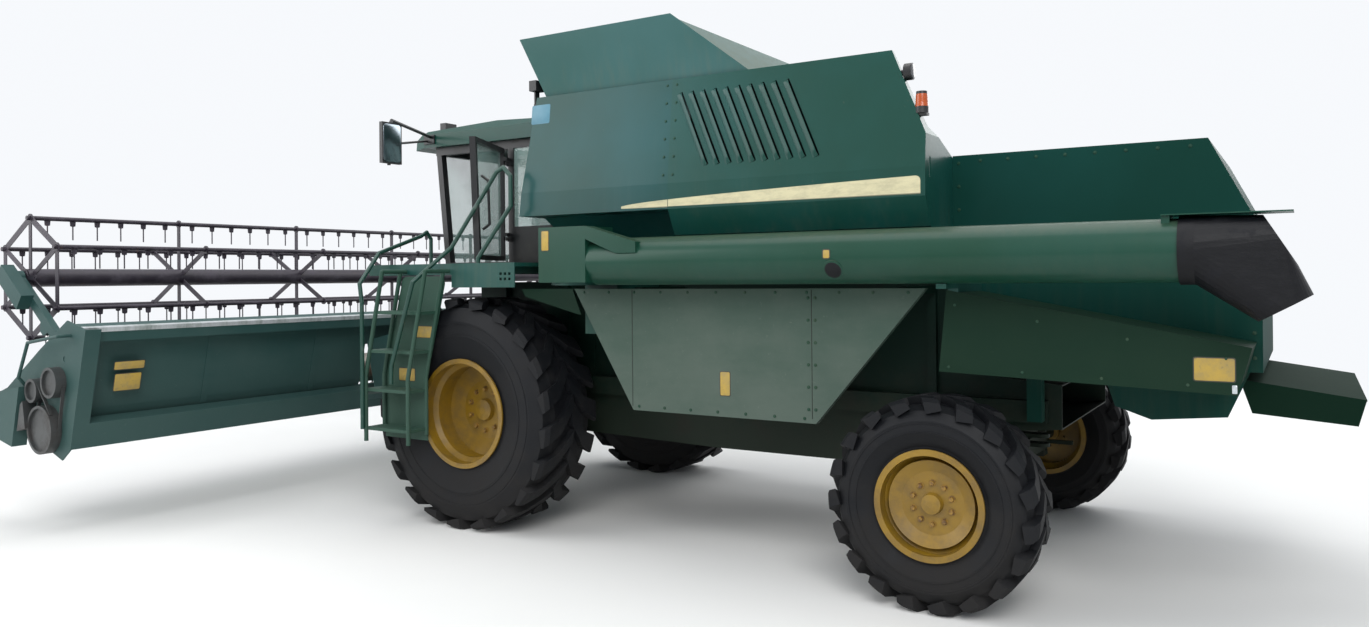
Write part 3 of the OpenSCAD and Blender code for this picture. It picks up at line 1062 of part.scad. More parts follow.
// Tail plate that spreads the chopped straw, hinged under the hood's rear edge.
tail_x = 5360;
tail_z = 1350;
tail_w = hood_w - 100;
module straw_deflector() color(green) from_axle() {
    side_prism([[-tail_x, tail_z - 20], [-tail_x, tail_z + 20], [-5960, 1285], [-5960, 1277]], -tail_w, tail_w);
    both() side_prism([[-tail_x, tail_z + 15], [-5958, 1280], [-5920, 1140], [-5420, 1180]], tail_w - 8, tail_w);
    for (y = [-600, -360, -120, 120, 360, 600]) side_prism([[-5400, tail_z - 10], [-5900, 1284], [-5880, 1160], [-5480, 1200]], y - 3, y + 3);
    y_cyl(-tail_x, -tail_w - 1, tail_w + 1, tail_z, 20);
}

// Mirrors on tube brackets at the cab's front corners.
module mirrors() color(black) from_axle() both() {
    z = cab_z1 + 60;
    y = cab_w + 60 + seat;
    box([cab_x1 + 60, y, z - 30], [cab_x1 + 190, y + 14, z + 50]);
    bent([[cab_x1 + 100, y + 8, z + 30], [620, 1740, z + 40], [600, 1790, z - 20], [600, 1790, z - 330]], 14);
    bent([[cab_x1 + 160, y + 8, z], [640, 1790, z - 160]], 10);
    box([560, 1690, z - 320], [596, 1890, z + 10]);
}

// Work lamps and the flashing beacon.
module work_lamps() color(black) from_axle() {
    both() for (y = [350, 650]) box([cab_x1 + 120, y - 70, cab_z1 + 153 + seat], [cab_x1 + 190, y + 70, cab_z1 + 250]);
    // Rear lamp and beacon on the flange of the engine cover.
    difference() {
        union() {
            translate([-3648, tank_top_w - 12, 3235]) rotate([0, 90, 0]) cylinder(h = 46, r = 52);
            translate([-3604, tank_top_w - 12, 3235]) rotate([0, 90, 0]) cylinder(h = 60, r = 16, $fn = 24);
        }
        bay_form(-seat);
    }
    difference() {
        union() {
            box([-3750, tank_top_w - 10, 2952], [-3670, tank_top_w + 40, 2968]);
            translate([-3712, tank_top_w + 15, 2967]) cylinder(h = 40, r = 40);
            translate([-3712, tank_top_w + 15, 3006]) cylinder(h = 94, r1 = 38, r2 = 33);
        }
        bay_form(-seat);
    }
    // Front lamp at the tank's upper corner.
    difference() {
        union() {
            box([-660, tank_top_w - 80, 3325], [-600, tank_top_w - 20, 3337]);
            box([-612, tank_top_w - 75, 3326], [-600, tank_top_w - 25, 3450]);
            box([-640, tank_top_w - 100, 3440], [-570, tank_top_w, 3520]);
        }
        tank_form(-seat);
    }
}

main_frame();
separator_body();
straw_hood();
straw_walkers();
grain_tank();
tank_extension();
engine_hood();
engine();
engine_fittings();
cooling_screen();
cab_frame();
cab_roof();
cab_glass();
door_frame();
door_glass();
operator_station();
platform();
ladder();
handrails();
side_shield_left();
side_shield_right();
rear_shields();
front_axle();
rear_axle();
knuckle_left();
knuckle_right();
front_rim_left();
front_rim_right();
front_tyre_left();
front_tyre_right();
rear_rim_left();
rear_rim_right();
rear_tyre_left();
rear_tyre_right();
feeder_house();
header_frame();
header_auger();
cutter_bar();
reel_arms();
reel_cam();
reel_spiders();
bat_1();
bat_2();
bat_3();
bat_4();
bat_5();
bat_6();
header_drive();
lift_barrels();
lift_rods();
reel_barrels();
reel_rods();
unload_base();
unload_elbow();
unload_tube();
unload_spout();
straw_deflector();
mirrors();
work_lamps();
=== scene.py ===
import math
import bpy
import bmesh
import numpy as np
from mathutils import Matrix, Vector


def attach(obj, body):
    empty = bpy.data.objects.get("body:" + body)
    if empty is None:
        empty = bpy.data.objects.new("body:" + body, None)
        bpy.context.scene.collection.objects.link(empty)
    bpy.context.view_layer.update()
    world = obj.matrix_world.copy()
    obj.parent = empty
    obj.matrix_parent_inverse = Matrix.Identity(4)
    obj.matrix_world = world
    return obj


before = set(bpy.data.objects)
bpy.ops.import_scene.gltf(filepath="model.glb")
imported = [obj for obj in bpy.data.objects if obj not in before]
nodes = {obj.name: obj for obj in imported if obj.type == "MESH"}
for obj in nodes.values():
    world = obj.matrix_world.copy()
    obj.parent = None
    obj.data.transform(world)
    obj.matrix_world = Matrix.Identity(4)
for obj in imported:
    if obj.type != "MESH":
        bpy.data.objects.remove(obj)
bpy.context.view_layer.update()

# The machine as it comes from its solids
# Every solid arrives at its own place in metres: X forward, Y to the machine's left, Z up.
# The front axle lies a little ahead of the middle, and many places below are counted from it.
axle = 1.03
scene = bpy.context.scene

# Viewpoint
# Eye height of someone standing at the left rear, eight metres from the near front wheel.
# The frame sits a little low on the lens, as when a tall picture is cropped.
# Its width, focal length and drop are in the picture's pixels.
stand = Vector((axle - 5.691, 7.329, 1.978))
yaw, pitch, roll = 0.5602, 0.0041, -0.0088
picture_width, focal_length, drop = 1369, 992.5, 40
look = Vector((math.sin(yaw) * math.cos(pitch), -math.cos(yaw) * math.cos(pitch), math.sin(pitch)))
side = look.cross(Vector((0, 0, 1))).normalized()
top = side.cross(look)
right = side * math.cos(roll) + top * math.sin(roll)
above = top * math.cos(roll) - side * math.sin(roll)
lens = bpy.data.cameras.new("viewpoint")
lens.sensor_width = 36
lens.lens = focal_length / picture_width * lens.sensor_width
lens.shift_y = -drop / picture_width
eye = bpy.data.objects.new("viewpoint", lens)
eye.matrix_world = Matrix((
    (right.x, above.x, -look.x, stand.x),
    (right.y, above.y, -look.y, stand.y),
    (right.z, above.z, -look.z, stand.z),
    (0, 0, 0, 1)))
scene.collection.objects.link(eye)
scene.camera = eye


# Floor and light
# A plain pale floor that runs into a pale backdrop, with four broad soft lamps over it.
# The key stands high on the viewer's side, so the near panels are lit evenly.
class Mask:
    """One number over a surface. Python's operators on it add Math nodes, so that 1 - mask works."""

    def __init__(self, tree, socket):
        self.tree = tree
        self.socket = socket

    def math(self, operation, *others):
        """A Math node on this number and the others."""
        return self.tree.add("ShaderNodeMath", {"operation": operation}, (self,) + others)

    def __add__(self, other):
        return self.math("ADD", other)

    def __mul__(self, other):
        return self.math("MULTIPLY", other)

    def __sub__(self, other):
        return self.math("SUBTRACT", other)

    def __rsub__(self, other):
        return self.tree.add("ShaderNodeMath", {"operation": "SUBTRACT"}, (other, self))

    def __pow__(self, other):
        return self.math("POWER", other)

    def __abs__(self):
        return self.math("ABSOLUTE")

    __radd__ = __add__
    __rmul__ = __mul__


class Tree:
    """The emptied node tree of a material or of the world, and the one way to add a node to it."""

    def __init__(self, holder):
        holder.use_nodes = True
        self.links = holder.node_tree.links
        self.nodes = holder.node_tree.nodes
        self.nodes.clear()

    def add(self, kind, settings, sockets, output=0):
        """One node: its kind, its settings, then the value or link of each socket. Gives one output."""
        node = self.nodes.new(kind)
        for key, value in settings.items():
            setattr(node, key, value)
        for key, value in (sockets.items() if isinstance(sockets, dict) else enumerate(sockets)):
            if isinstance(value, Mask):
                self.links.new(value.socket, node.inputs[key])
            else:
                node.inputs[key].default_value = value
        return Mask(self, node.outputs[output]) if len(node.outputs) else None


class Finish(Tree):
    """One surface: paint, rubber, steel or glass, with its grain, dust and wear."""

    def __init__(self, name):
        self.material = bpy.data.materials.new(name)
        super().__init__(self.material)
        self.place = self.add("ShaderNodeTexCoord", {}, {}, "Object")
        self.x, self.y, self.z = self.parts(self.place)
        self.up = self.parts(self.add("ShaderNodeTexCoord", {}, {}, "Normal"))[2]

    def parts(self, vector):
        """The three numbers of a vector."""
        node = self.nodes.new("ShaderNodeSeparateXYZ")
        self.links.new(vector.socket, node.inputs[0])
        return [Mask(self, number) for number in node.outputs]

    def noise(self, scale, detail=3.0, stretch=(1, 1, 1), rough=0.55):
        """Cloudy noise from 0 to 1, scale clouds to the metre; a stretch under 1 draws it out."""
        where = self.place
        if stretch != (1, 1, 1):
            where = self.add("ShaderNodeMapping", {}, {"Vector": self.place, "Scale": stretch})
        return self.add("ShaderNodeTexNoise", {},
                        {"Vector": where, "Scale": scale, "Detail": detail, "Roughness": rough})

    def cells(self, scale, feature="F1"):
        """Distance inside close-packed cells, scale cells to the metre."""
        return self.add("ShaderNodeTexVoronoi", {"feature": feature}, {"Vector": self.place, "Scale": scale})

    def step(self, mask, low, high):
        """0 below low, 1 above high, and a smooth rise between; low may be the larger."""
        return self.add("ShaderNodeMapRange", {"interpolation_type": "SMOOTHSTEP"},
                        {"Value": mask, "From Min": low, "From Max": high})

    def blend(self, mask, first, second):
        """first where the mask is 0 and second where it is 1, both colours."""
        return self.add("ShaderNodeMix", {"data_type": "RGBA"}, {0: mask, 6: first, 7: second}, 2)

    def surface(self, colour, rough, bumps=(), **fixed):
        """Closes the finish. bumps are (height, metres, strength), the coarsest first."""
        sockets = {"Base Color": colour, "Roughness": rough}
        for height, metres, strength in bumps:
            bump = {"Height": height, "Distance": metres, "Strength": strength}
            if "Normal" in sockets:
                bump["Normal"] = sockets["Normal"]
            sockets["Normal"] = self.add("ShaderNodeBump", {}, bump)
        sockets.update({key.replace("_", " "): value for key, value in fixed.items()})
        shader = self.add("ShaderNodeBsdfPrincipled", {}, sockets)
        self.add("ShaderNodeOutputMaterial", {}, {0: shader})


def shade(red, green, blue):
    """A screen colour from 0 to 255, as the linear colour that a shader takes."""
    levels = [level / 255 for level in (red, green, blue)]
    return tuple(c / 12.92 if c < 0.04045 else ((c + 0.055) / 1.055) ** 2.4 for c in levels) + (1.0,)


backdrop_white = (0.93, 0.95, 0.98, 1)
ground = Finish("pale_floor")
cloudy = ground.blend(ground.noise(0.35, 4), shade(226, 225, 222), shade(236, 235, 232))
matt = ground.add("ShaderNodeBsdfDiffuse", {}, {0: cloudy})
glow = ground.add("ShaderNodeEmission", {}, {0: backdrop_white, 1: 1.0})
seen = ground.add("ShaderNodeLightPath", {}, {}, "Is Camera Ray")
away = ground.step((ground.x * ground.x + ground.y * ground.y) ** 0.5, 6.5, 15.0)
faded = ground.add("ShaderNodeMixShader", {}, {0: away * seen, 1: matt, 2: glow})
ground.add("ShaderNodeOutputMaterial", {}, {0: faded})
reach = 300
slab = bpy.data.meshes.new("floor")
slab.from_pydata([(-reach, -reach, 0), (reach, -reach, 0), (reach, reach, 0), (-reach, reach, 0)], [],
                 [(0, 1, 2, 3)])
slab.materials.append(ground.material)
floor = bpy.data.objects.new("floor", slab)
scene.collection.objects.link(floor)
sky = bpy.data.worlds.new("sky")
air = Tree(sky)
straight = air.add("ShaderNodeLightPath", {}, {}, "Is Camera Ray")
through_glass = air.add("ShaderNodeLightPath", {}, {}, "Is Transmission Ray")
in_gloss = air.add("ShaderNodeLightPath", {}, {}, "Is Glossy Ray")
shown = in_gloss.math("MAXIMUM", straight.math("MAXIMUM", through_glass))
soft = air.add("ShaderNodeBackground", {}, {0: (0.86, 0.92, 1.0, 1), 1: 0.62})
white = air.add("ShaderNodeBackground", {}, {0: backdrop_white, 1: 1.0})
choice = air.add("ShaderNodeMixShader", {}, {0: shown, 1: soft, 2: white})
air.add("ShaderNodeOutputWorld", {}, {0: choice})
scene.world = sky
scene.view_settings.view_transform = "Standard"
for name, spot, aim, size, power in (
        ("key_light", (-9, 13, 12), (0, 0, 1.5), 9, 1750),
        ("fill_light", (10, 9, 7), (2, 0, 1.5), 9, 800),
        ("far_light", (-3, -13, 9), (0, 0, 1.5), 10, 900),
        ("top_light", (1, 0, 14), (0, 0, 0), 12, 900)):
    lamp = bpy.data.lights.new(name, "AREA")
    lamp.size = size
    lamp.energy = power
    hung = bpy.data.objects.new(name, lamp)
    hung.location = spot
    hung.rotation_euler = (Vector(aim) - Vector(spot)).to_track_quat("-Z", "Y").to_euler()
    scene.collection.objects.link(hung)


# Upper sheet metal: grain tank, engine hood, straw hood, cab roof and unloading tube
# Pressed steel sheet in a deep green gloss enamel, clouded with a paler blue-green that is a painted
# reflection of the sky, and filmed with field dust.
# Rain has run the dust down the sides in faint streaks, and the sheets are never quite flat.
def dress(finish, *names):
    """Gives a finish to the solids of these names, in every one of their material slots."""
    for name in names:
        for held in nodes[name].material_slots:
            held.material = finish.material


def enamel(name, deep, pale_sky_tint, dust=0.35, rough=0.3, dirt=shade(124, 112, 88),
           low=1.9, high=3.4, wave=1.0, shine=0.22):
    """Gloss paint, deep to pale_sky_tint in broad clouds, that tint a painted reflection of the sky; dust
    lies on upward faces and thickens from high down to low.
    """
    coat = Finish(name)
    broad = coat.noise(0.7, 4)
    fleck = coat.noise(42, 5)
    streak = coat.noise(3.0, 4, (7, 7, 0.5))
    settled = coat.step(coat.up, 0.45, 0.95) * 0.75 + coat.step(coat.z, high, low) * 0.45
    film = coat.step(settled * 0.6 + streak * 0.5 + broad * 0.35, 0.55, 1.15) * dust
    spots = coat.step(coat.noise(19, 6, rough=0.7), 0.66, 0.74) * 0.5 * dust
    # The paler tone is a painted reflection of the sky, laid in broad clouds.
    paint = coat.blend(coat.step(broad, 0.3, 0.75), deep, pale_sky_tint)
    paint = coat.blend(film + spots, paint, dirt)
    scratch = coat.step(coat.noise(3.2, 8, (1, 1, 14), 0.8), 0.71, 0.74) * 0.35
    paint = coat.blend(scratch, paint, shade(116, 132, 118))
    coat.surface(paint, film * 0.9 + spots * 0.6 + fleck * 0.12 + rough,
                 ((coat.noise(1.1, 2), 0.012 * wave, 0.5), (fleck, 0.0006, 0.25)),
                 Coat_Weight=(1 - film * 1.6) * (shine * 0.73), Coat_Roughness=0.15, Specular_IOR_Level=shine)
    return coat


green_gloss = enamel("green_gloss", shade(12, 60, 50), shade(22, 74, 70), 0.24)
dress(green_gloss, "engine_hood", "cab_roof", "platform", "unload_base")
# The tank has the hood's paint; its bluer greens are a painted reflection of the sky.
tank_sky_lit_green = enamel("tank_sky_lit_green", shade(10, 60, 54), shade(20, 75, 76), 0.22, dirt=shade(108, 112, 102))
dress(tank_sky_lit_green, "grain_tank")
hood_green = enamel("hood_green", shade(10, 52, 44), shade(16, 62, 56), 0.16, 0.5,
                    low=1.4, high=2.6, shine=0.06)
dress(hood_green, "straw_hood")
tube_green = enamel("tube_green", shade(16, 58, 42), shade(24, 66, 54), 0.15, low=1.7, high=2.5, wave=0.4)
dress(tube_green, "unload_tube", "unload_elbow")
# The extension has the tank's green; its paler, bluer tones are painted light and a painted reflection of the
# sky.
hopper_sky_lit_green = enamel("hopper_sky_lit_green", shade(46, 86, 82), shade(60, 100, 100), 0.36, 0.45, low=3.2, high=4.2)
dress(hopper_sky_lit_green, "tank_extension")


# Side and rear shields, ladder, straw plate and header sheets
# Folded sheet in the same green, but dulled to a grey green by a season's dust.
# Hands and straw have rubbed it, so the dust lies in clouds with darker wiped patches.
def dulled(name, paint, dust_colour, weight=0.55, rough=0.58, shine=0.25):
    """Paint under clouds of dust, thicker low down; weight is how much of the paint the dust hides."""
    coat = Finish(name)
    cloud = coat.noise(1.3, 6, rough=0.62)
    stretched_patches = coat.noise(2.4, 5, (1, 1, 2.6))
    grit = coat.noise(60, 4)
    lower = coat.step(coat.z, 2.2, 0.9)
    dust = coat.step(cloud * 0.9 + stretched_patches * 0.5 + lower * 0.4, 0.55, 1.25) * weight + weight * 0.35
    drops = coat.step(coat.noise(26, 5, rough=0.72), 0.63, 0.7) * 0.3
    tone = coat.blend(dust + drops, paint, dust_colour)
    scrape = coat.step(coat.noise(5, 9, (1, 1, 9), 0.85), 0.73, 0.76) * 0.4
    tone = coat.blend(scrape, tone, shade(60, 62, 52))
    coat.surface(tone, dust * 0.35 + grit * 0.1 + rough * 0.75,
                 ((coat.noise(1.5, 2), 0.01, 0.45), (grit, 0.0008, 0.3)),
                 Coat_Weight=(1 - dust) * (shine * 0.4), Coat_Roughness=0.3, Specular_IOR_Level=shine)
    return coat


shield_green = dulled("shield_green", shade(34, 64, 52), shade(90, 100, 92))
dress(shield_green, "side_shield_left", "side_shield_right")
cover_green = dulled("cover_green", shade(8, 38, 26), shade(38, 56, 42), 0.28, 0.7, 0.12)
dress(cover_green, "rear_shields")
ladder_green = dulled("ladder_green", shade(26, 66, 52), shade(70, 88, 78), 0.34)
dress(ladder_green, "ladder")
# The deflector has the same green paint; this darker copy of it is a painted shade.
tail_shaded_green = dulled("tail_shaded_green", shade(8, 34, 24), shade(34, 48, 38), 0.2, 0.95, 0.04)
dress(tail_shaded_green, "straw_deflector")
# The blue cast in the header's green is painted sky light.
header_green = dulled("header_green", shade(24, 64, 62), shade(74, 92, 88), 0.32, 0.5)
dress(header_green, "header_frame", "feeder_house", "reel_arms")


# Frame, separator body, axles, walkers and engine
# Welded sections and castings under the panels: paint gone dark with oil, chaff dust and dried mud.
# Mud is thickest low down, and oil has darkened patches of the rest.
def muddy(name, paint, mud, weight):
    """Oily paint caked with mud that stands up from the surface; weight is how much of it the mud hides."""
    coat = Finish(name)
    clod = coat.noise(5, 8, rough=0.7)
    film = coat.noise(1.6, 5)
    lower = coat.step(coat.z, 1.9, 0.5)
    caked = coat.step(clod * 0.8 + lower * 0.6 + film * 0.3, 0.72, 1.05) * weight
    oil = coat.step(coat.noise(2.7, 6), 0.55, 0.7) * 0.5
    tone = coat.blend(oil, paint, shade(26, 27, 24))
    tone = coat.blend(caked, tone, mud)
    coat.surface(tone, caked * 0.35 + clod * 0.1 + 0.48,
                 ((caked * clod, 0.008, 0.6), (coat.noise(70, 3), 0.0008, 0.3)), Specular_IOR_Level=0.2)
    return coat


frame_green = muddy("frame_green", shade(8, 34, 26), shade(58, 54, 44), 0.3)
dress(frame_green, "main_frame", "separator_body", "front_axle", "rear_axle", "knuckle_left", "knuckle_right")
walker_steel = muddy("walker_steel", shade(112, 112, 106), shade(120, 100, 70), 0.4)
dress(walker_steel, "straw_walkers")
soot_black = muddy("soot_black", shade(30, 31, 32), shade(84, 76, 62), 0.35)
dress(soot_black, "engine_fittings")
engine_cast = muddy("engine_cast", shade(40, 62, 48), shade(70, 66, 56), 0.4)
dress(engine_cast, "engine")

# Handrails
# Bent steel tube in green enamel, rubbed by hands and chipped to grey in places.
rail_paint = Finish("rail_paint")
rubbed = rail_paint.step(rail_paint.noise(9, 6, rough=0.7), 0.6, 0.72)
rail_tone = rail_paint.blend(rubbed * 0.4, shade(22, 62, 52), shade(104, 114, 106))
rail_paint.surface(rail_tone, rubbed * 0.25 + 0.34, ((rubbed, 0.0006, 0.4),))
dress(rail_paint, "handrails")

# Wheels: rims
# Pressed and welded steel discs in bright yellow enamel, bolted to their hubs, coloured here in a darker
# yellow that carries a painted shade.
# Brown dust has settled on them in clouds, and spots of rust show through the paint.
rim_yellow = Finish("rim_yellow")
grime = rim_yellow.noise(7, 7, rough=0.68)
haze = rim_yellow.noise(1.9, 4)
rusty = rim_yellow.step(rim_yellow.noise(15, 8, rough=0.75), 0.64, 0.72)
# Both yellows are darkened well below the enamel's own colour, a painted shade.
tone = rim_yellow.blend(rim_yellow.step(haze, 0.35, 0.7), shade(126, 96, 14), shade(142, 110, 22))
tone = rim_yellow.blend(rim_yellow.step(grime, 0.38, 0.7) * 0.6, tone, shade(92, 74, 44))
tone = rim_yellow.blend(rusty * 0.55, tone, shade(96, 60, 30))
rim_yellow.surface(tone, grime * 0.25 + 0.36, ((grime, 0.0016, 0.4), (rusty, 0.0008, 0.5)),
                   Coat_Weight=0.15, Coat_Roughness=0.3)
dress(rim_yellow, "front_rim_left", "front_rim_right", "rear_rim_left", "rear_rim_right")

# Wheels: tyres
# Moulded black rubber with fine cracks of age.
# Field soil has dried on it, so it is grey brown in patches, most of all low down.
tyre_black = Finish("tyre_black")
soil = tyre_black.noise(6, 8, rough=0.66)
cloud = tyre_black.noise(1.4, 4)
ground_side = tyre_black.step(tyre_black.z, 1.3, 0.0)
dusted = tyre_black.step(soil * 0.8 + cloud * 0.5 + ground_side * 0.25, 0.62, 1.05)
tone = tyre_black.blend(dusted * 0.32, shade(12, 14, 18), shade(62, 59, 56))
crack = tyre_black.step(tyre_black.cells(38, "DISTANCE_TO_EDGE"), 0.0, 0.05)
tyre_black.surface(tone, dusted * 0.35 + 0.58, ((soil, 0.004, 0.5), (crack, 0.0007, 0.3)),
                   Specular_IOR_Level=0.25)
dress(tyre_black, "front_tyre_left", "front_tyre_right", "rear_tyre_left", "rear_tyre_right")

# Cab frame, door frame, mirrors, lamp housings, controls and cylinder barrels
# Black powder coat on tube and sheet, greyed by dust on the upward faces.
cab_black = Finish("cab_black")
dusty = cab_black.step(cab_black.noise(4, 6) + cab_black.step(cab_black.up, 0.4, 1.0) * 0.3, 0.5, 0.95)
cab_black.surface(cab_black.blend(dusty * 0.5, shade(24, 25, 27), shade(88, 86, 80)), dusty * 0.3 + 0.42,
                  ((cab_black.noise(180, 2), 0.0004, 0.35),))
dress(cab_black, "cab_frame", "door_frame", "mirrors", "work_lamps", "operator_station",
      "lift_barrels", "reel_barrels")

# Window glass
# Tinted safety glass in the cab's frame and its door, under a cloudy film of dust.
pane = Finish("tinted_glass")
film = pane.step(pane.noise(2.2, 6, rough=0.65), 0.4, 0.85)
glass_tone = pane.blend(film * 0.6, shade(176, 206, 200), shade(190, 190, 180))
pane.surface(glass_tone, film * 0.2 + 0.04, Alpha=film * 0.18 + 0.34, IOR=1.45, Specular_IOR_Level=0.9)
pane.material.surface_render_method = "BLENDED"
dress(pane, "cab_glass", "door_glass")

# Unloading spout
# A soft moulded rubber hood, matt black, creased where it hangs and dusted with grain flour.
spout_rubber = Finish("spout_rubber")
crease = spout_rubber.noise(5, 5, (1, 1, 2.2))
flour = spout_rubber.step(spout_rubber.noise(14, 6), 0.5, 0.75)
spout_rubber.surface(spout_rubber.blend(flour * 0.2, shade(6, 7, 12), shade(46, 47, 52)), flour * 0.3 + 0.5,
                     ((crease, 0.012, 0.5), (spout_rubber.noise(90, 3), 0.0006, 0.3)),
                     Specular_IOR_Level=0.25)
dress(spout_rubber, "unload_spout")

# Reel: spiders, bats and cam plates
# Painted tube and flat bar, nearly black, bleached to a dull violet brown by sun and chaff.
reel_paint = Finish("reel_paint")
worn = reel_paint.step(reel_paint.noise(6, 7, rough=0.7), 0.45, 0.75)
rust = reel_paint.step(reel_paint.noise(13, 8, rough=0.75), 0.6, 0.7)
tone = reel_paint.blend(worn * 0.6, shade(40, 34, 44), shade(86, 80, 90))
tone = reel_paint.blend(rust * 0.5, tone, shade(92, 58, 38))
reel_paint.surface(tone, worn * 0.3 + 0.45, ((rust, 0.0007, 0.4),))
dress(reel_paint, "reel_spiders", "reel_cam", "bat_1", "bat_2", "bat_3", "bat_4", "bat_5", "bat_6")


# Header auger, knife and end drives
# Bare working steel, rolled and welded: flighting and tube are scoured bright by the crop.
# Where nothing rubs it is dull with rust, and the drives at the ends are dark with oil.
def scoured(name, bright, dull, metal=0.75):
    """Working steel: bright and metallic where it is rubbed, dull in patches elsewhere."""
    steel = Finish(name)
    wipe = steel.noise(4, 6, (0.6, 4, 0.6))
    patch = steel.step(steel.noise(3.3, 6, rough=0.66), 0.42, 0.68)
    steel.surface(steel.blend(patch, bright, dull), patch * 0.35 + wipe * 0.12 + 0.32,
                  ((wipe, 0.0006, 0.3),), Metallic=metal - patch * 0.5)
    return steel


auger_steel = scoured("auger_steel", shade(150, 146, 138), shade(104, 82, 64))
knife_steel = scoured("knife_steel", shade(128, 126, 122), shade(86, 72, 58), 0.6)
drive_steel = scoured("drive_steel", shade(70, 72, 72), shade(46, 42, 40), 0.4)
dress(auger_steel, "header_auger")
dress(knife_steel, "cutter_bar")
dress(drive_steel, "header_drive")

# Chromed rods
# Ground and hard-chromed cylinder rods with a film of oil and dust.
chrome = Finish("rod_chrome")
oily = chrome.noise(12, 4)
chrome.surface(chrome.blend(oily * 0.4, shade(205, 206, 208), shade(150, 140, 122)), oily * 0.15 + 0.12,
               Metallic=1.0)
dress(chrome, "lift_rods", "reel_rods")

# Radiator screen
# A round housing of black sheet behind fine woven wire, grey with chaff.
screen_wire = Finish("screen_wire")
chaff = screen_wire.step(screen_wire.noise(8, 6), 0.45, 0.75)
screen_wire.surface(screen_wire.blend(chaff * 0.5, shade(34, 36, 36), shade(122, 112, 88)), chaff * 0.3 + 0.5,
                    ((screen_wire.noise(120, 2), 0.0008, 0.5),))
dress(screen_wire, "cooling_screen")


# Cream stripe
# A self-adhesive band along the fold of tank and hood, thin at the front and rounded at the back,
# cut through at the joint between the two panels and bleached to a chalky cream.
def into_view(name, points, faces, finish, body, crease=35):
    """A mesh from its points and faces, riding on a body; doubled points merge and faces turn outwards."""
    mesh = bpy.data.meshes.new(name)
    mesh.from_pydata(np.asarray(points, float).reshape(-1, 3).tolist(), [], [tuple(face) for face in faces])
    work = bmesh.new()
    work.from_mesh(mesh)
    bmesh.ops.remove_doubles(work, verts=work.verts, dist=1e-6)
    bmesh.ops.recalc_face_normals(work, faces=work.faces)
    work.to_mesh(mesh)
    work.free()
    mesh.shade_smooth()
    mesh.set_sharp_from_angle(angle=math.radians(crease))
    mesh.materials.append(finish.material)
    piece = bpy.data.objects.new(name, mesh)
    scene.collection.objects.link(piece)
    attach(piece, body)
    return piece


def cut_sheet(name, outlines, normal, thick, finish, body):
    """Closed outlines as plates: half a thickness deep, one thickness high, with the last third bevelled."""
    points, faces = [], []
    normal = np.asarray(normal, float)
    for outline in outlines:
        ring = np.asarray(outline, float)
        n, first = len(ring), len(points)
        middle = ring.mean(0)
        shrunk = ring + (middle - ring) * min(0.5, 0.5 * thick / np.linalg.norm(ring - middle, axis=1).max())
        points += list(ring - normal * thick * 0.5) + list(ring + normal * thick * 0.7)
        points += list(shrunk + normal * thick)
        here = np.arange(n)
        after = (here + 1) % n
        for low in (first, first + n):
            faces += list(np.stack([low + here, low + after, low + n + after, low + n + here], 1))
        faces += [tuple(first + here[::-1]), tuple(first + 2 * n + here)]
    return into_view(name, points, faces, finish, body)


def stripe_height(x):
    """Height of the band above its straight lower edge: it swells quickly and then stays even."""
    run = np.clip((-0.46 - x) / 2.2, 0, 1)
    return 0.018 + 0.094 * run ** 0.55


tank_side = 1.5
stripe_low = 2.471
cream = Finish("cream_band")
chalk = cream.noise(9, 7, (1, 1, 3), 0.7)
scuff = cream.step(cream.noise(30, 6, rough=0.75), 0.62, 0.72)
line = cream.step(abs(cream.z - (stripe_low + 0.0035)), 0.004, 0.0025)
tone = cream.blend(cream.step(chalk, 0.35, 0.75), shade(206, 198, 160), shade(178, 172, 140))
tone = cream.blend(scuff * 0.4, tone, shade(120, 124, 104))
tone = cream.blend(line * 0.8, tone, shade(60, 70, 56))
cream.surface(tone, chalk * 0.2 + 0.5, ((scuff, 0.0002, 0.4),))
bands = []
for front, back, corner in ((-0.47, -0.868, 0), (-0.873, -2.69, 0.03)):
    turn = np.linspace(0, np.pi / 2, 7)[1:] if corner else np.zeros(0)
    even = np.linspace(front, back + corner, 24)
    x = np.concatenate([even, back + corner - corner * np.sin(turn)])
    z = np.concatenate([stripe_height(even), stripe_height(back) - corner * (1 - np.cos(turn))])
    upper = np.stack([x, np.full_like(x, tank_side), stripe_low + z], 1)
    lower = [(back, tank_side, stripe_low), (front, tank_side, stripe_low + 0.006)]
    bands.append(np.concatenate([upper, lower]))
cut_sheet("cream_band", bands, (0, 1, 0), 0.0012, cream, "chassis")


# Yellow labels
# Thin plain vinyl plates with a darker border, faded and scratched.
# They are stuck on the tube and its base, the left door and cover, the ladder and the header's back.
def rounded(centre, across, along, width, height, corner=0.012, steps=4):
    """Outline of a rectangle round a centre, spanned by two directions, with quarter-circle corners."""
    turn = np.linspace(0, np.pi / 2, steps)
    arc = np.stack([np.cos(turn), np.sin(turn)], 1) * corner
    w, h = width / 2 - corner, height / 2 - corner
    flat = np.concatenate([arc + (w, h), arc[:, ::-1] * (-1, 1) + (-w, h),
                           -arc - (w, h), arc[:, ::-1] * (1, -1) + (w, -h)])
    return np.asarray(centre) + flat[:, :1] * across + flat[:, 1:] * along


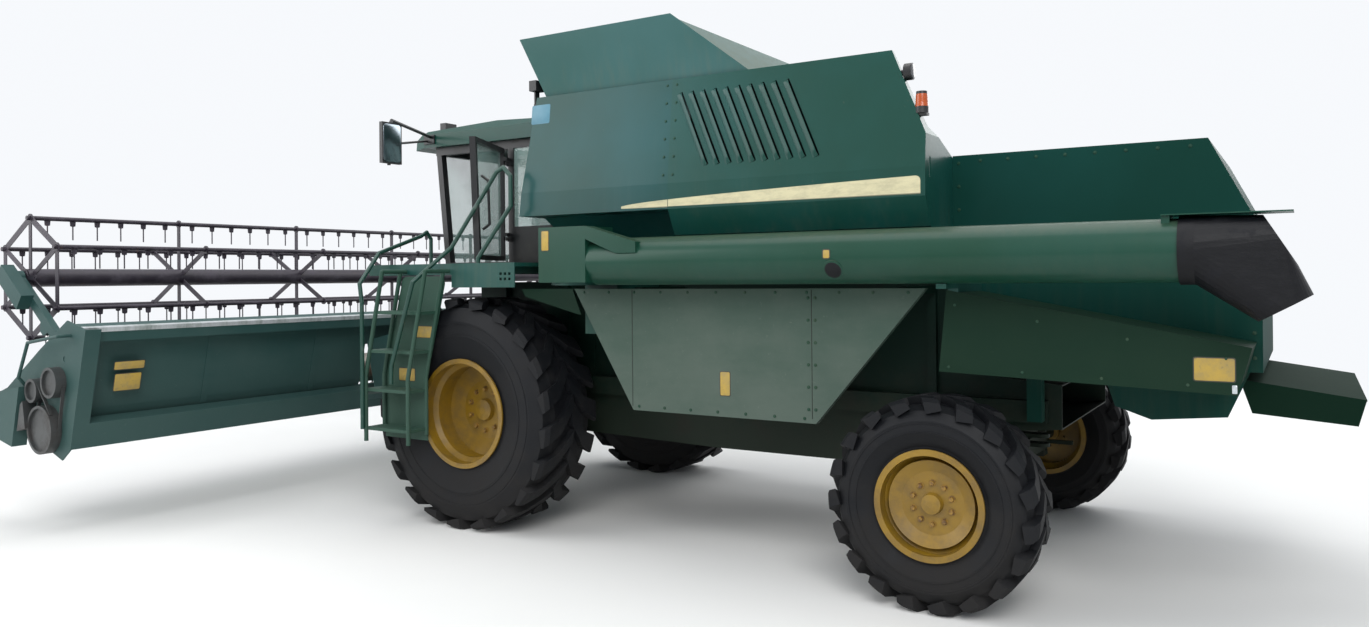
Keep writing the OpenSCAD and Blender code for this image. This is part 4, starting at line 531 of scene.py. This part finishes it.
label = Finish("label_yellow")
faded = label.noise(12, 6, rough=0.7)
tone = label.blend(label.step(faded, 0.35, 0.7), shade(178, 148, 64), shade(152, 132, 80))
tone = label.blend(label.step(label.noise(48, 5), 0.62, 0.7) * 0.5, tone, shade(112, 104, 78))
label.surface(tone, faded * 0.2 + 0.48, ((faded, 0.0002, 0.3),))
border = Finish("label_border")
border.surface(border.blend(border.noise(20, 4), shade(34, 36, 30), shade(70, 68, 54)), 0.55)
X, Y, Z = np.eye(3)
lift = math.radians(14)
hinge_x, hinge_z = 0.45, 1.55
header_up = np.array([-math.sin(lift), 0, math.cos(lift)])
header_back = np.array([-math.cos(lift), 0, -math.sin(lift)])
shield_side, cover_side = 1.48, 1.46
margin = 0.006


def on_header(x, y, z):
    """A place on the lowered header, counted from the front axle, turned up about the header's hinge."""
    forward, upward = x - hinge_x, z - hinge_z
    return np.array([axle + hinge_x + forward * math.cos(lift) - upward * math.sin(lift), y,
                     hinge_z + forward * math.sin(lift) + upward * math.cos(lift)])


for name, centre, across, along, out_of, width, height, body in (
        ("label_base", (-0.02, 1.815, 2.25), X, Z, Y, 0.075, 0.15, "unloader"),
        ("label_tube", (-2.21, 1.8152, 2.112), X, Z, Y, 0.052, 0.06, "unloader"),
        ("label_ladder_a", (1.35, 1.688, 1.56), X, Z, Y, 0.2, 0.1, "chassis"),
        ("label_ladder_b", (1.55, 1.688, 1.21), X, Z, Y, 0.19, 0.11, "chassis"),
        ("label_shield", (-1.31, shield_side, 1.255), X, Z, Y, 0.085, 0.17, "shield_left"),
        ("label_cover", (-4.245, cover_side, 1.472), X, Z, Y, 0.2, 0.13, "chassis"),
        ("label_header_a", on_header(2.24, 2.93, 0.86), Y, header_up, header_back, 0.25, 0.075, "header"),
        ("label_header_b", on_header(2.24, 2.93, 0.72), Y, header_up, header_back, 0.22, 0.15, "header")):
    outline = rounded(centre, across, along, width, height)
    cut_sheet(name + "_border", [outline], out_of, 0.0008, border, body)
    inner = rounded(centre, across, along, width - 2 * margin, height - 2 * margin, 0.008)
    cut_sheet(name, [inner + out_of * 0.0007], out_of, 0.0008, label, body)

# Pale sticker on the tank
# A small weathered blue square of vinyl, stuck to the upper side of the grain tank.
# The side leans inwards above its fold, and the sticker leans with it.
tank_slope = 0.08 / 0.74
tank_lean = math.atan(tank_slope)
pale_blue = Finish("pale_sticker")
pale_blue.surface(pale_blue.blend(pale_blue.noise(16, 6), shade(70, 120, 142), shade(96, 140, 154)), 0.45)
leaning = np.array([0, -math.sin(tank_lean), math.cos(tank_lean)])
outward = np.array([0, math.cos(tank_lean), math.sin(tank_lean)])
cut_sheet("pale_sticker", [rounded((0.33, 1.4345, 3.245), X, leaning, 0.18, 0.15)], outward, 0.001,
          pale_blue, "chassis")


# Bolts of the panels
# Hexagon heads on washers, painted over in green, hold the doors, the hood, the tank and the rear covers.
# They stand in rows along the panels' edges and folds.
def woven(rows, columns, rows_close=True, columns_close=False):
    """Quads over a grid of points; where rows or columns close, the last one joins the first."""
    i, j = np.meshgrid(np.arange(rows - (not rows_close)), np.arange(columns - (not columns_close)),
                       indexing="ij")
    after, beside = (i + 1) % rows, (j + 1) % columns
    corners = (i * columns + j, after * columns + j, after * columns + beside, i * columns + beside)
    return np.stack(corners, -1).reshape(-1, 4)


def repeated(points, quads, places):
    """The points and quads of one piece, set down again at each of many places."""
    places = np.asarray(places, float).reshape(-1, 1, 3)
    first = np.arange(len(places)).reshape(-1, 1, 1) * len(points)
    return (places + points).reshape(-1, 3), (first + quads).reshape(-1, 4)


def fasteners(name, places, out_of, size, finish, body, slot, tall=0.6):
    """Hexagon heads at many places, each a stack of rings about its axis: washer, flank, chamfer and top."""
    out_of = np.asarray(out_of, float)
    across = np.cross(out_of, (0.1, 0.3, 1.0))
    across /= np.linalg.norm(across)
    along = np.cross(out_of, across)
    sides = 12
    turn = np.arange(sides) * 2 * np.pi / sides
    hexagon = np.where(np.arange(sides) % 2 == 0, 1.0, math.cos(math.pi / 6))
    rings = []
    for radius, height, form in (
            (1.0, -0.05, 1.0), (1.0, 0.12, 1.0), (0.97, 0.15, 1.0), (0.74, 0.15, hexagon),
            (0.74, tall * 0.85, hexagon), (0.62, tall, hexagon), (0.0, tall, hexagon)):
        x, y = np.cos(turn) * radius * form, np.sin(turn) * radius * form
        rings.append((x[:, None] * across + y[:, None] * along + height * out_of) * size)
    head = np.stack(rings, 1).reshape(-1, 3)
    points, quads = repeated(head, woven(sides, len(rings)), places)
    return into_view(name, points, quads, finish, body, 30)


def bolt_rows(name, rows, *others):
    """Fasteners in even rows, each row given as its two ends and how many stand in it."""
    places = [np.linspace(start, end, count) for start, end, count in rows]
    fasteners(name, np.concatenate(places), *others)


green_bolts = enamel("green_bolts", shade(16, 56, 42), shade(28, 68, 52), 0.3, 0.4)
hood_side = 0.95
flanks = ((1, "left"), (-1, "right"))
for s, name in flanks:
    door, hood, cover = s * shield_side, s * hood_side, s * cover_side
    number = int(s > 0)
    bolt_rows("shield_bolts_%s" % name, (
        ((-0.11, door, 1.875), (-2.6, door, 1.875), 12), ((-0.6, door, 1.06), (-1.9, door, 1.06), 7),
        ((-1.93, door, 1.12), (-1.93, door, 1.84), 6), ((-1.98, door, 1.12), (-1.98, door, 1.84), 6)),
        (0, s, 0), 0.011, green_bolts, "shield_" + name, "dusty_green")
    bolt_rows("hood_bolts_%d" % number, (
        ((-2.76, hood, 1.5), (-2.76, hood, 2.7), 9), ((-4.41, hood, 1.5), (-4.41, hood, 2.2), 6),
        ((-2.9, hood, 2.71), (-4.1, hood, 2.71), 8)),
        (0, s, 0), 0.011, green_bolts, "chassis", "machine_green")
    bolt_rows("tank_bolts_%d" % number, [
        ((x, s * (tank_side - 0.0048), 2.7), (x, s * (tank_side - 0.076), 3.34), 6) for x in (-0.83, -0.91)],
        (0, s * math.cos(tank_lean), math.sin(tank_lean)), 0.01, green_bolts, "chassis", "machine_green")
    bolt_rows("cover_bolts_%d" % number, (
        ((-2.88, cover, 1.80), (-4.3, cover, 1.53), 4), ((-2.84, cover, 1.43), (-4.12, cover, 1.385), 4)),
        (0, s, 0), 0.009, green_bolts, "chassis", "dusty_green")

# Joints between the side doors' sheets
# Each door is three sheets set edge to edge; the joints are dark slots five millimetres wide.
slot_dark = Finish("slot_dark")
slot_dark.surface(slot_dark.blend(slot_dark.noise(30, 4), shade(10, 16, 12), shade(34, 38, 30)), 0.8)
joint_low, joint_high, joint_half = 1.06, 1.892, 0.0025
for s, name in flanks:
    joints = []
    for x in (-1.955, -0.545):
        face = s * (shield_side + 0.0002)
        joints.append([(x - joint_half, face, joint_low), (x + joint_half, face, joint_low),
                       (x + joint_half, face, joint_high), (x - joint_half, face, joint_high)])
    cut_sheet("door_joints_" + name, joints, (0, s, 0), 0.0006, slot_dark, "shield_" + name)

# Wheel nuts
# Ten taller nuts on studs hold each rim to its hub, with rust weeping out from under them.
nut_steel = Finish("nut_steel")
bloom = nut_steel.noise(34, 6, rough=0.7)
rusted = nut_steel.step(bloom, 0.4, 0.65)
nut_steel.surface(nut_steel.blend(rusted, shade(146, 112, 44), shade(86, 62, 40)), 0.55)
rear_axle = axle - 3.806
front_hub, rear_hub = 0.915, 0.632
turn = (np.arange(10) + 0.5) * 2 * np.pi / 10
for end, x, face, z, radius, size in (
        ("front", axle, 1.324, front_hub, 0.168, 0.024),
        ("rear", rear_axle, 1.589, rear_hub, 0.122, 0.021)):
    for s, name in flanks:
        ring = np.stack([x + radius * np.cos(turn), np.full(10, s * face), z + radius * np.sin(turn)], 1)
        fasteners("nuts_%s_%s" % (end, name), ring, (0, s, 0), size, nut_steel,
                  "%s_wheel_%s" % (end, name), "wheel_yellow", 1.1)


# Tyre walls
# Moulded ribs run round each side wall: a rim guard near the bead and a finer ring above it.
def turned(profile, centre, finish, name, body):
    """A closed profile of (distance along the axle, radius) turned about the axle."""
    out, radius = np.asarray(profile, float).T
    turn = np.linspace(0, 2 * np.pi, 96, endpoint=False)[:, None]
    grid = np.stack(np.broadcast_arrays(np.cos(turn) * radius, out, np.sin(turn) * radius), -1)
    return into_view(name, grid + centre, woven(96, len(profile), True, True), finish, body, 40)


for end, x, y, z, half, radii in (
        ("front", axle, 1.33, front_hub, 0.311, (0.632, 0.712)),
        ("rear", rear_axle, 1.515, rear_hub, 0.189, (0.438, 0.486))):
    for s, name in flanks:
        for number, radius in enumerate(radii):
            for face in (1, -1):
                root, crest = face * (half - 0.004), face * (half + 0.0035)
                rib = [(root, radius - 0.006), (crest, radius - 0.003),
                       (crest, radius + 0.003), (root, radius + 0.006)]
                turned(rib, (x, s * y, z), tyre_black, "wall_rib_%s_%s_%d_%d" % (end, name, number, face > 0),
                       "%s_wheel_%s" % (end, name))

# Lamp lenses and corner plates
# Ribbed pale lenses in the black housings on the cab's roof, and a dark one high at the rear.
# Two small plates in the same finish are fixed to the rear corners of the covers.
lens_glass = Finish("lamp_lens")
flute = lens_glass.noise(60, 2, (1, 8, 0.5))
lens_glass.surface(lens_glass.blend(flute, shade(214, 220, 222), shade(168, 176, 180)), flute * 0.1 + 0.12,
                   ((flute, 0.002, 0.6),), Metallic=0.3)
for number, y in enumerate((-0.65, -0.35, 0.35, 0.65)):
    outline = rounded((axle + 1.12, y, 3.3815), Y, Z, 0.124, 0.082, 0.014)
    cut_sheet("roof_lens_%d" % number, [outline], X, 0.006, lens_glass, "chassis")
for s, name in flanks:
    outline = rounded((-4.338, s * cover_side, 1.372), X, Z, 0.024, 0.044, 0.004)
    cut_sheet("corner_plate_" + name, [outline], (0, s, 0), 0.003, lens_glass, "chassis")
rear_glass = Finish("rear_lens")
rear_glass.surface(rear_glass.blend(rear_glass.noise(40, 3), shade(96, 98, 100), shade(60, 62, 66)), 0.15,
                   Metallic=0.2)
turn = np.linspace(0, 2 * np.pi, 28, endpoint=False)[:, None]
disc = np.array([axle - 3.6485, 1.408, 3.235]) + 0.046 * (np.cos(turn) * Y + np.sin(turn) * Z)
cut_sheet("rear_lens", [disc], -X, 0.004, rear_glass, "chassis")


# Amber beacon
# A ribbed dome of amber plastic on a short skirt, screwed down on the engine's hood.
def upright(profile, centre, finish, name, body):
    """A profile of (radius, height) turned about an upright axis; radius 0 closes the top and bottom."""
    radius, height = np.asarray(profile, float).T
    turn = np.linspace(0, 2 * np.pi, 40, endpoint=False)[:, None]
    grid = np.stack(np.broadcast_arrays(np.cos(turn) * radius, np.sin(turn) * radius, height), -1)
    return into_view(name, grid + centre, woven(40, len(profile)), finish, body, 40)


amber = Finish("amber_dome")
ribs = amber.noise(45, 2, (1, 1, 0.1))
amber.surface(amber.blend(ribs, shade(188, 84, 22), shade(150, 58, 14)), ribs * 0.1 + 0.18,
              ((ribs, 0.002, 0.5),))
dome = [(0, 0.0), (0.0395, 0.0), (0.0395, 0.006)]
dome += [(0.0385 - 0.003 * t, 0.008 + 0.06 * t) for t in np.linspace(0, 1, 4)]
dome += [(0.0355 * math.cos(t), 0.068 + 0.03 * math.sin(t)) for t in np.linspace(0, np.pi / 2, 9)[1:-1]]
dome += [(0, 0.098)]
upright(dome, (axle - 3.712, 1.435, 3.0062), amber, "beacon_dome", "chassis")

# Mirror glass
# Silvered glass set into the back of each mirror's black housing, a little smeared.
mirror_glass = Finish("mirror_glass")
smear = mirror_glass.noise(7, 5)
mirror_glass.surface(mirror_glass.blend(smear * 0.4, shade(150, 160, 168), shade(112, 120, 124)),
                     smear * 0.06 + 0.2, Metallic=1.0)
for s, name in flanks:
    outline = rounded((axle + 0.56, s * 1.79, 3.085), Y, Z, 0.18, 0.305, 0.03, 6)
    cut_sheet("mirror_glass_" + name, [outline], -X, 0.004, mirror_glass, "chassis")


# Header top edge
# The folded lip of the header's top beam, three millimetres thick.
# Its pale, half-metallic colour along its whole length is a painted highlight, varied in patches.
def drawn(name, ring, reach, finish, body):
    """A closed section carried straight along a vector, with both ends closed."""
    ring = np.asarray(ring, float)
    n = len(ring)
    here = np.arange(n)
    after = (here + 1) % n
    faces = list(np.stack([here, after, n + after, n + here], 1)) + [tuple(here[::-1]), tuple(n + here)]
    points = np.concatenate([ring, ring + np.asarray(reach, float)])
    return into_view(name, points, faces, finish, body, 30)


# Pale half-metal greys along the whole lip: a painted highlight.
painted_highlight_edge = Finish("painted_highlight_edge")
stretched_patches = painted_highlight_edge.step(painted_highlight_edge.noise(2.0, 6, (1, 5, 1), 0.7), 0.35, 0.8)
painted_highlight_edge.surface(painted_highlight_edge.blend(stretched_patches, shade(196, 200, 202), shade(128, 138, 132)), stretched_patches * 0.3 + 0.34,
                    Metallic=0.35)
header_half = 3.35
lip = [(2.1795, 1.168), (2.1765, 1.168), (2.1765, 1.2035), (2.222, 1.2035), (2.222, 1.2005), (2.1795, 1.2005)]
drawn("header_lip", [on_header(x, -header_half, z) for x, z in lip], (0, 2 * header_half, 0),
      painted_highlight_edge, "header")

# Pressed louvres of the engine's cover
# Each slot is half covered by a tongue pressed out of the sheet, flush in front and raised behind.
# A tongue dies into the sheet at both ends, and is a closed shell of an outer and an inner skin.
louvre_lean = math.radians(24.5)
louvre_count, louvre_pitch, louvre_rise = 10, 0.092, 0.0125
tongue_long, tongue_wide = 0.572, 0.038
slot_foot_x, slot_foot_z = axle - 2.216, 2.75
fold_height = 2.64
long_way, cross_way = 25, 8
run, across = np.meshgrid(np.linspace(0, 1, long_way), np.linspace(0, 1, cross_way), indexing="ij")
ends = np.clip(np.minimum(run, 1 - run) / 0.07, 0, 1)
swell = louvre_rise * np.sin(ends * np.pi / 2) * (1 - across ** 1.6)
up_slot = run * tongue_long + 0.004
over_slot = across * tongue_wide - 0.004
x = slot_foot_x + up_slot * math.sin(louvre_lean) + over_slot * math.cos(louvre_lean)
z = slot_foot_z + up_slot * math.cos(louvre_lean) - over_slot * math.sin(louvre_lean)
sheet = np.stack([x, tank_side - tank_slope * (z - fold_height), z], -1)
skins = [(sheet + (swell + thick)[..., None] * outward).reshape(-1, 3) for thick in (0.0016, 0.0)]
index = np.arange(long_way * cross_way).reshape(long_way, cross_way)
rim = np.concatenate([index[0], index[1:, -1], index[-1, -2::-1], index[-2:0:-1, 0]])
wall = np.stack([rim, np.roll(rim, -1), np.roll(rim, -1) + index.size, rim + index.size], -1)
outer = woven(long_way, cross_way, False)
tongue = np.concatenate([outer, outer[:, ::-1] + index.size, wall])
places = [-number * louvre_pitch * X for number in range(louvre_count)]
tongues, tongue_faces = repeated(np.concatenate(skins), tongue, places)
into_view("louvres", tongues, tongue_faces, green_gloss, "chassis", 40)

# Painted shade behind the engine's louvres
# A tray of black sheet, three millimetres thick, that is a painted shade for the dark engine bay behind the
# slots.
# It hangs just inside the cover and runs behind all ten louvres.
painted_shade_plate = [(1.478, 2.735), (1.362, 2.735), (1.362, 3.3), (1.417, 3.3),
         (1.417, 3.297), (1.365, 3.297), (1.365, 2.738), (1.478, 2.738)]
painted_shade_rear, painted_shade_length = -2.12, 1.14
drawn("louvre_painted_shade", [(painted_shade_rear, y, z) for y, z in painted_shade_plate], (painted_shade_length, 0, 0),
      soot_black, "chassis")

# Cleaning port of the unloading tube
# A dark rubber plug in a pressed collar, low on the tube's outer side.
tube_radius, port_drop = 0.165, 0.08
port_centre = np.array([-2.245, 1.65, 2.095])
port_tilt = math.asin(-port_drop / tube_radius)
port_out = np.array([0, math.cos(port_tilt), math.sin(port_tilt)])
port_up = np.array([0, -math.sin(port_tilt), math.cos(port_tilt)])
turn = np.linspace(0, 2 * np.pi, 32, endpoint=False)[:, None]
for name, radius, depth, skin, slot in (
        ("port_collar", 0.064, 0.007, tube_green, "machine_green"),
        ("port_plug", 0.055, 0.0086, tyre_black, "tyre")):
    ring = (np.cos(turn) * X + np.sin(turn) * port_up) * radius
    cut_sheet(name, [port_centre + port_out * (tube_radius - 0.005) + ring], port_out, depth, skin,
              "unloader")


# Operator's seat
# Two foam cushions in black vinyl on the seat shell: a crowned base and a back with side bolsters.
def cushion(name, centre, half, lean, finish):
    """A crowned pad: a rounded box of exponent 5 across and 2.7 through, waved across, leant back about Y."""
    around, upwards = 48, 25
    u = np.linspace(-np.pi, np.pi, around + 1)[:-1]
    v = np.linspace(-np.pi / 2, np.pi / 2, upwards)
    power = lambda value, exponent: np.sign(value) * np.abs(value) ** exponent
    u, v = np.meshgrid(u, v, indexing="ij")
    x = half[0] * power(np.cos(v), 0.75) * power(np.cos(u), 0.4)
    y = half[1] * power(np.cos(v), 0.75) * power(np.sin(u), 0.4)
    z = half[2] * power(np.sin(v), 0.75) * (1 + 0.12 * np.cos(2 * np.pi * y / half[1]))
    c, s = math.cos(lean), math.sin(lean)
    grid = np.stack([centre[0] + x * c - z * s, centre[1] + y, centre[2] + x * s + z * c], -1)
    pad = into_view(name, grid, woven(around, upwards), finish, "chassis", 60)


vinyl = Finish("black_vinyl")
grain = vinyl.cells(240)
vinyl.surface(vinyl.blend(vinyl.noise(5, 5), shade(30, 31, 33), shade(52, 51, 48)), grain * 0.15 + 0.5,
              ((vinyl.noise(9, 3), 0.004, 0.5), (grain, 0.0006, 0.4)))
cushion("seat_base_pad", (axle + 0.08, 0, 2.575), (0.235, 0.245, 0.05), 0.04, vinyl)
cushion("seat_back_pad", (axle - 0.15, 0, 2.85), (0.25, 0.235, 0.05), math.radians(-80), vinyl)
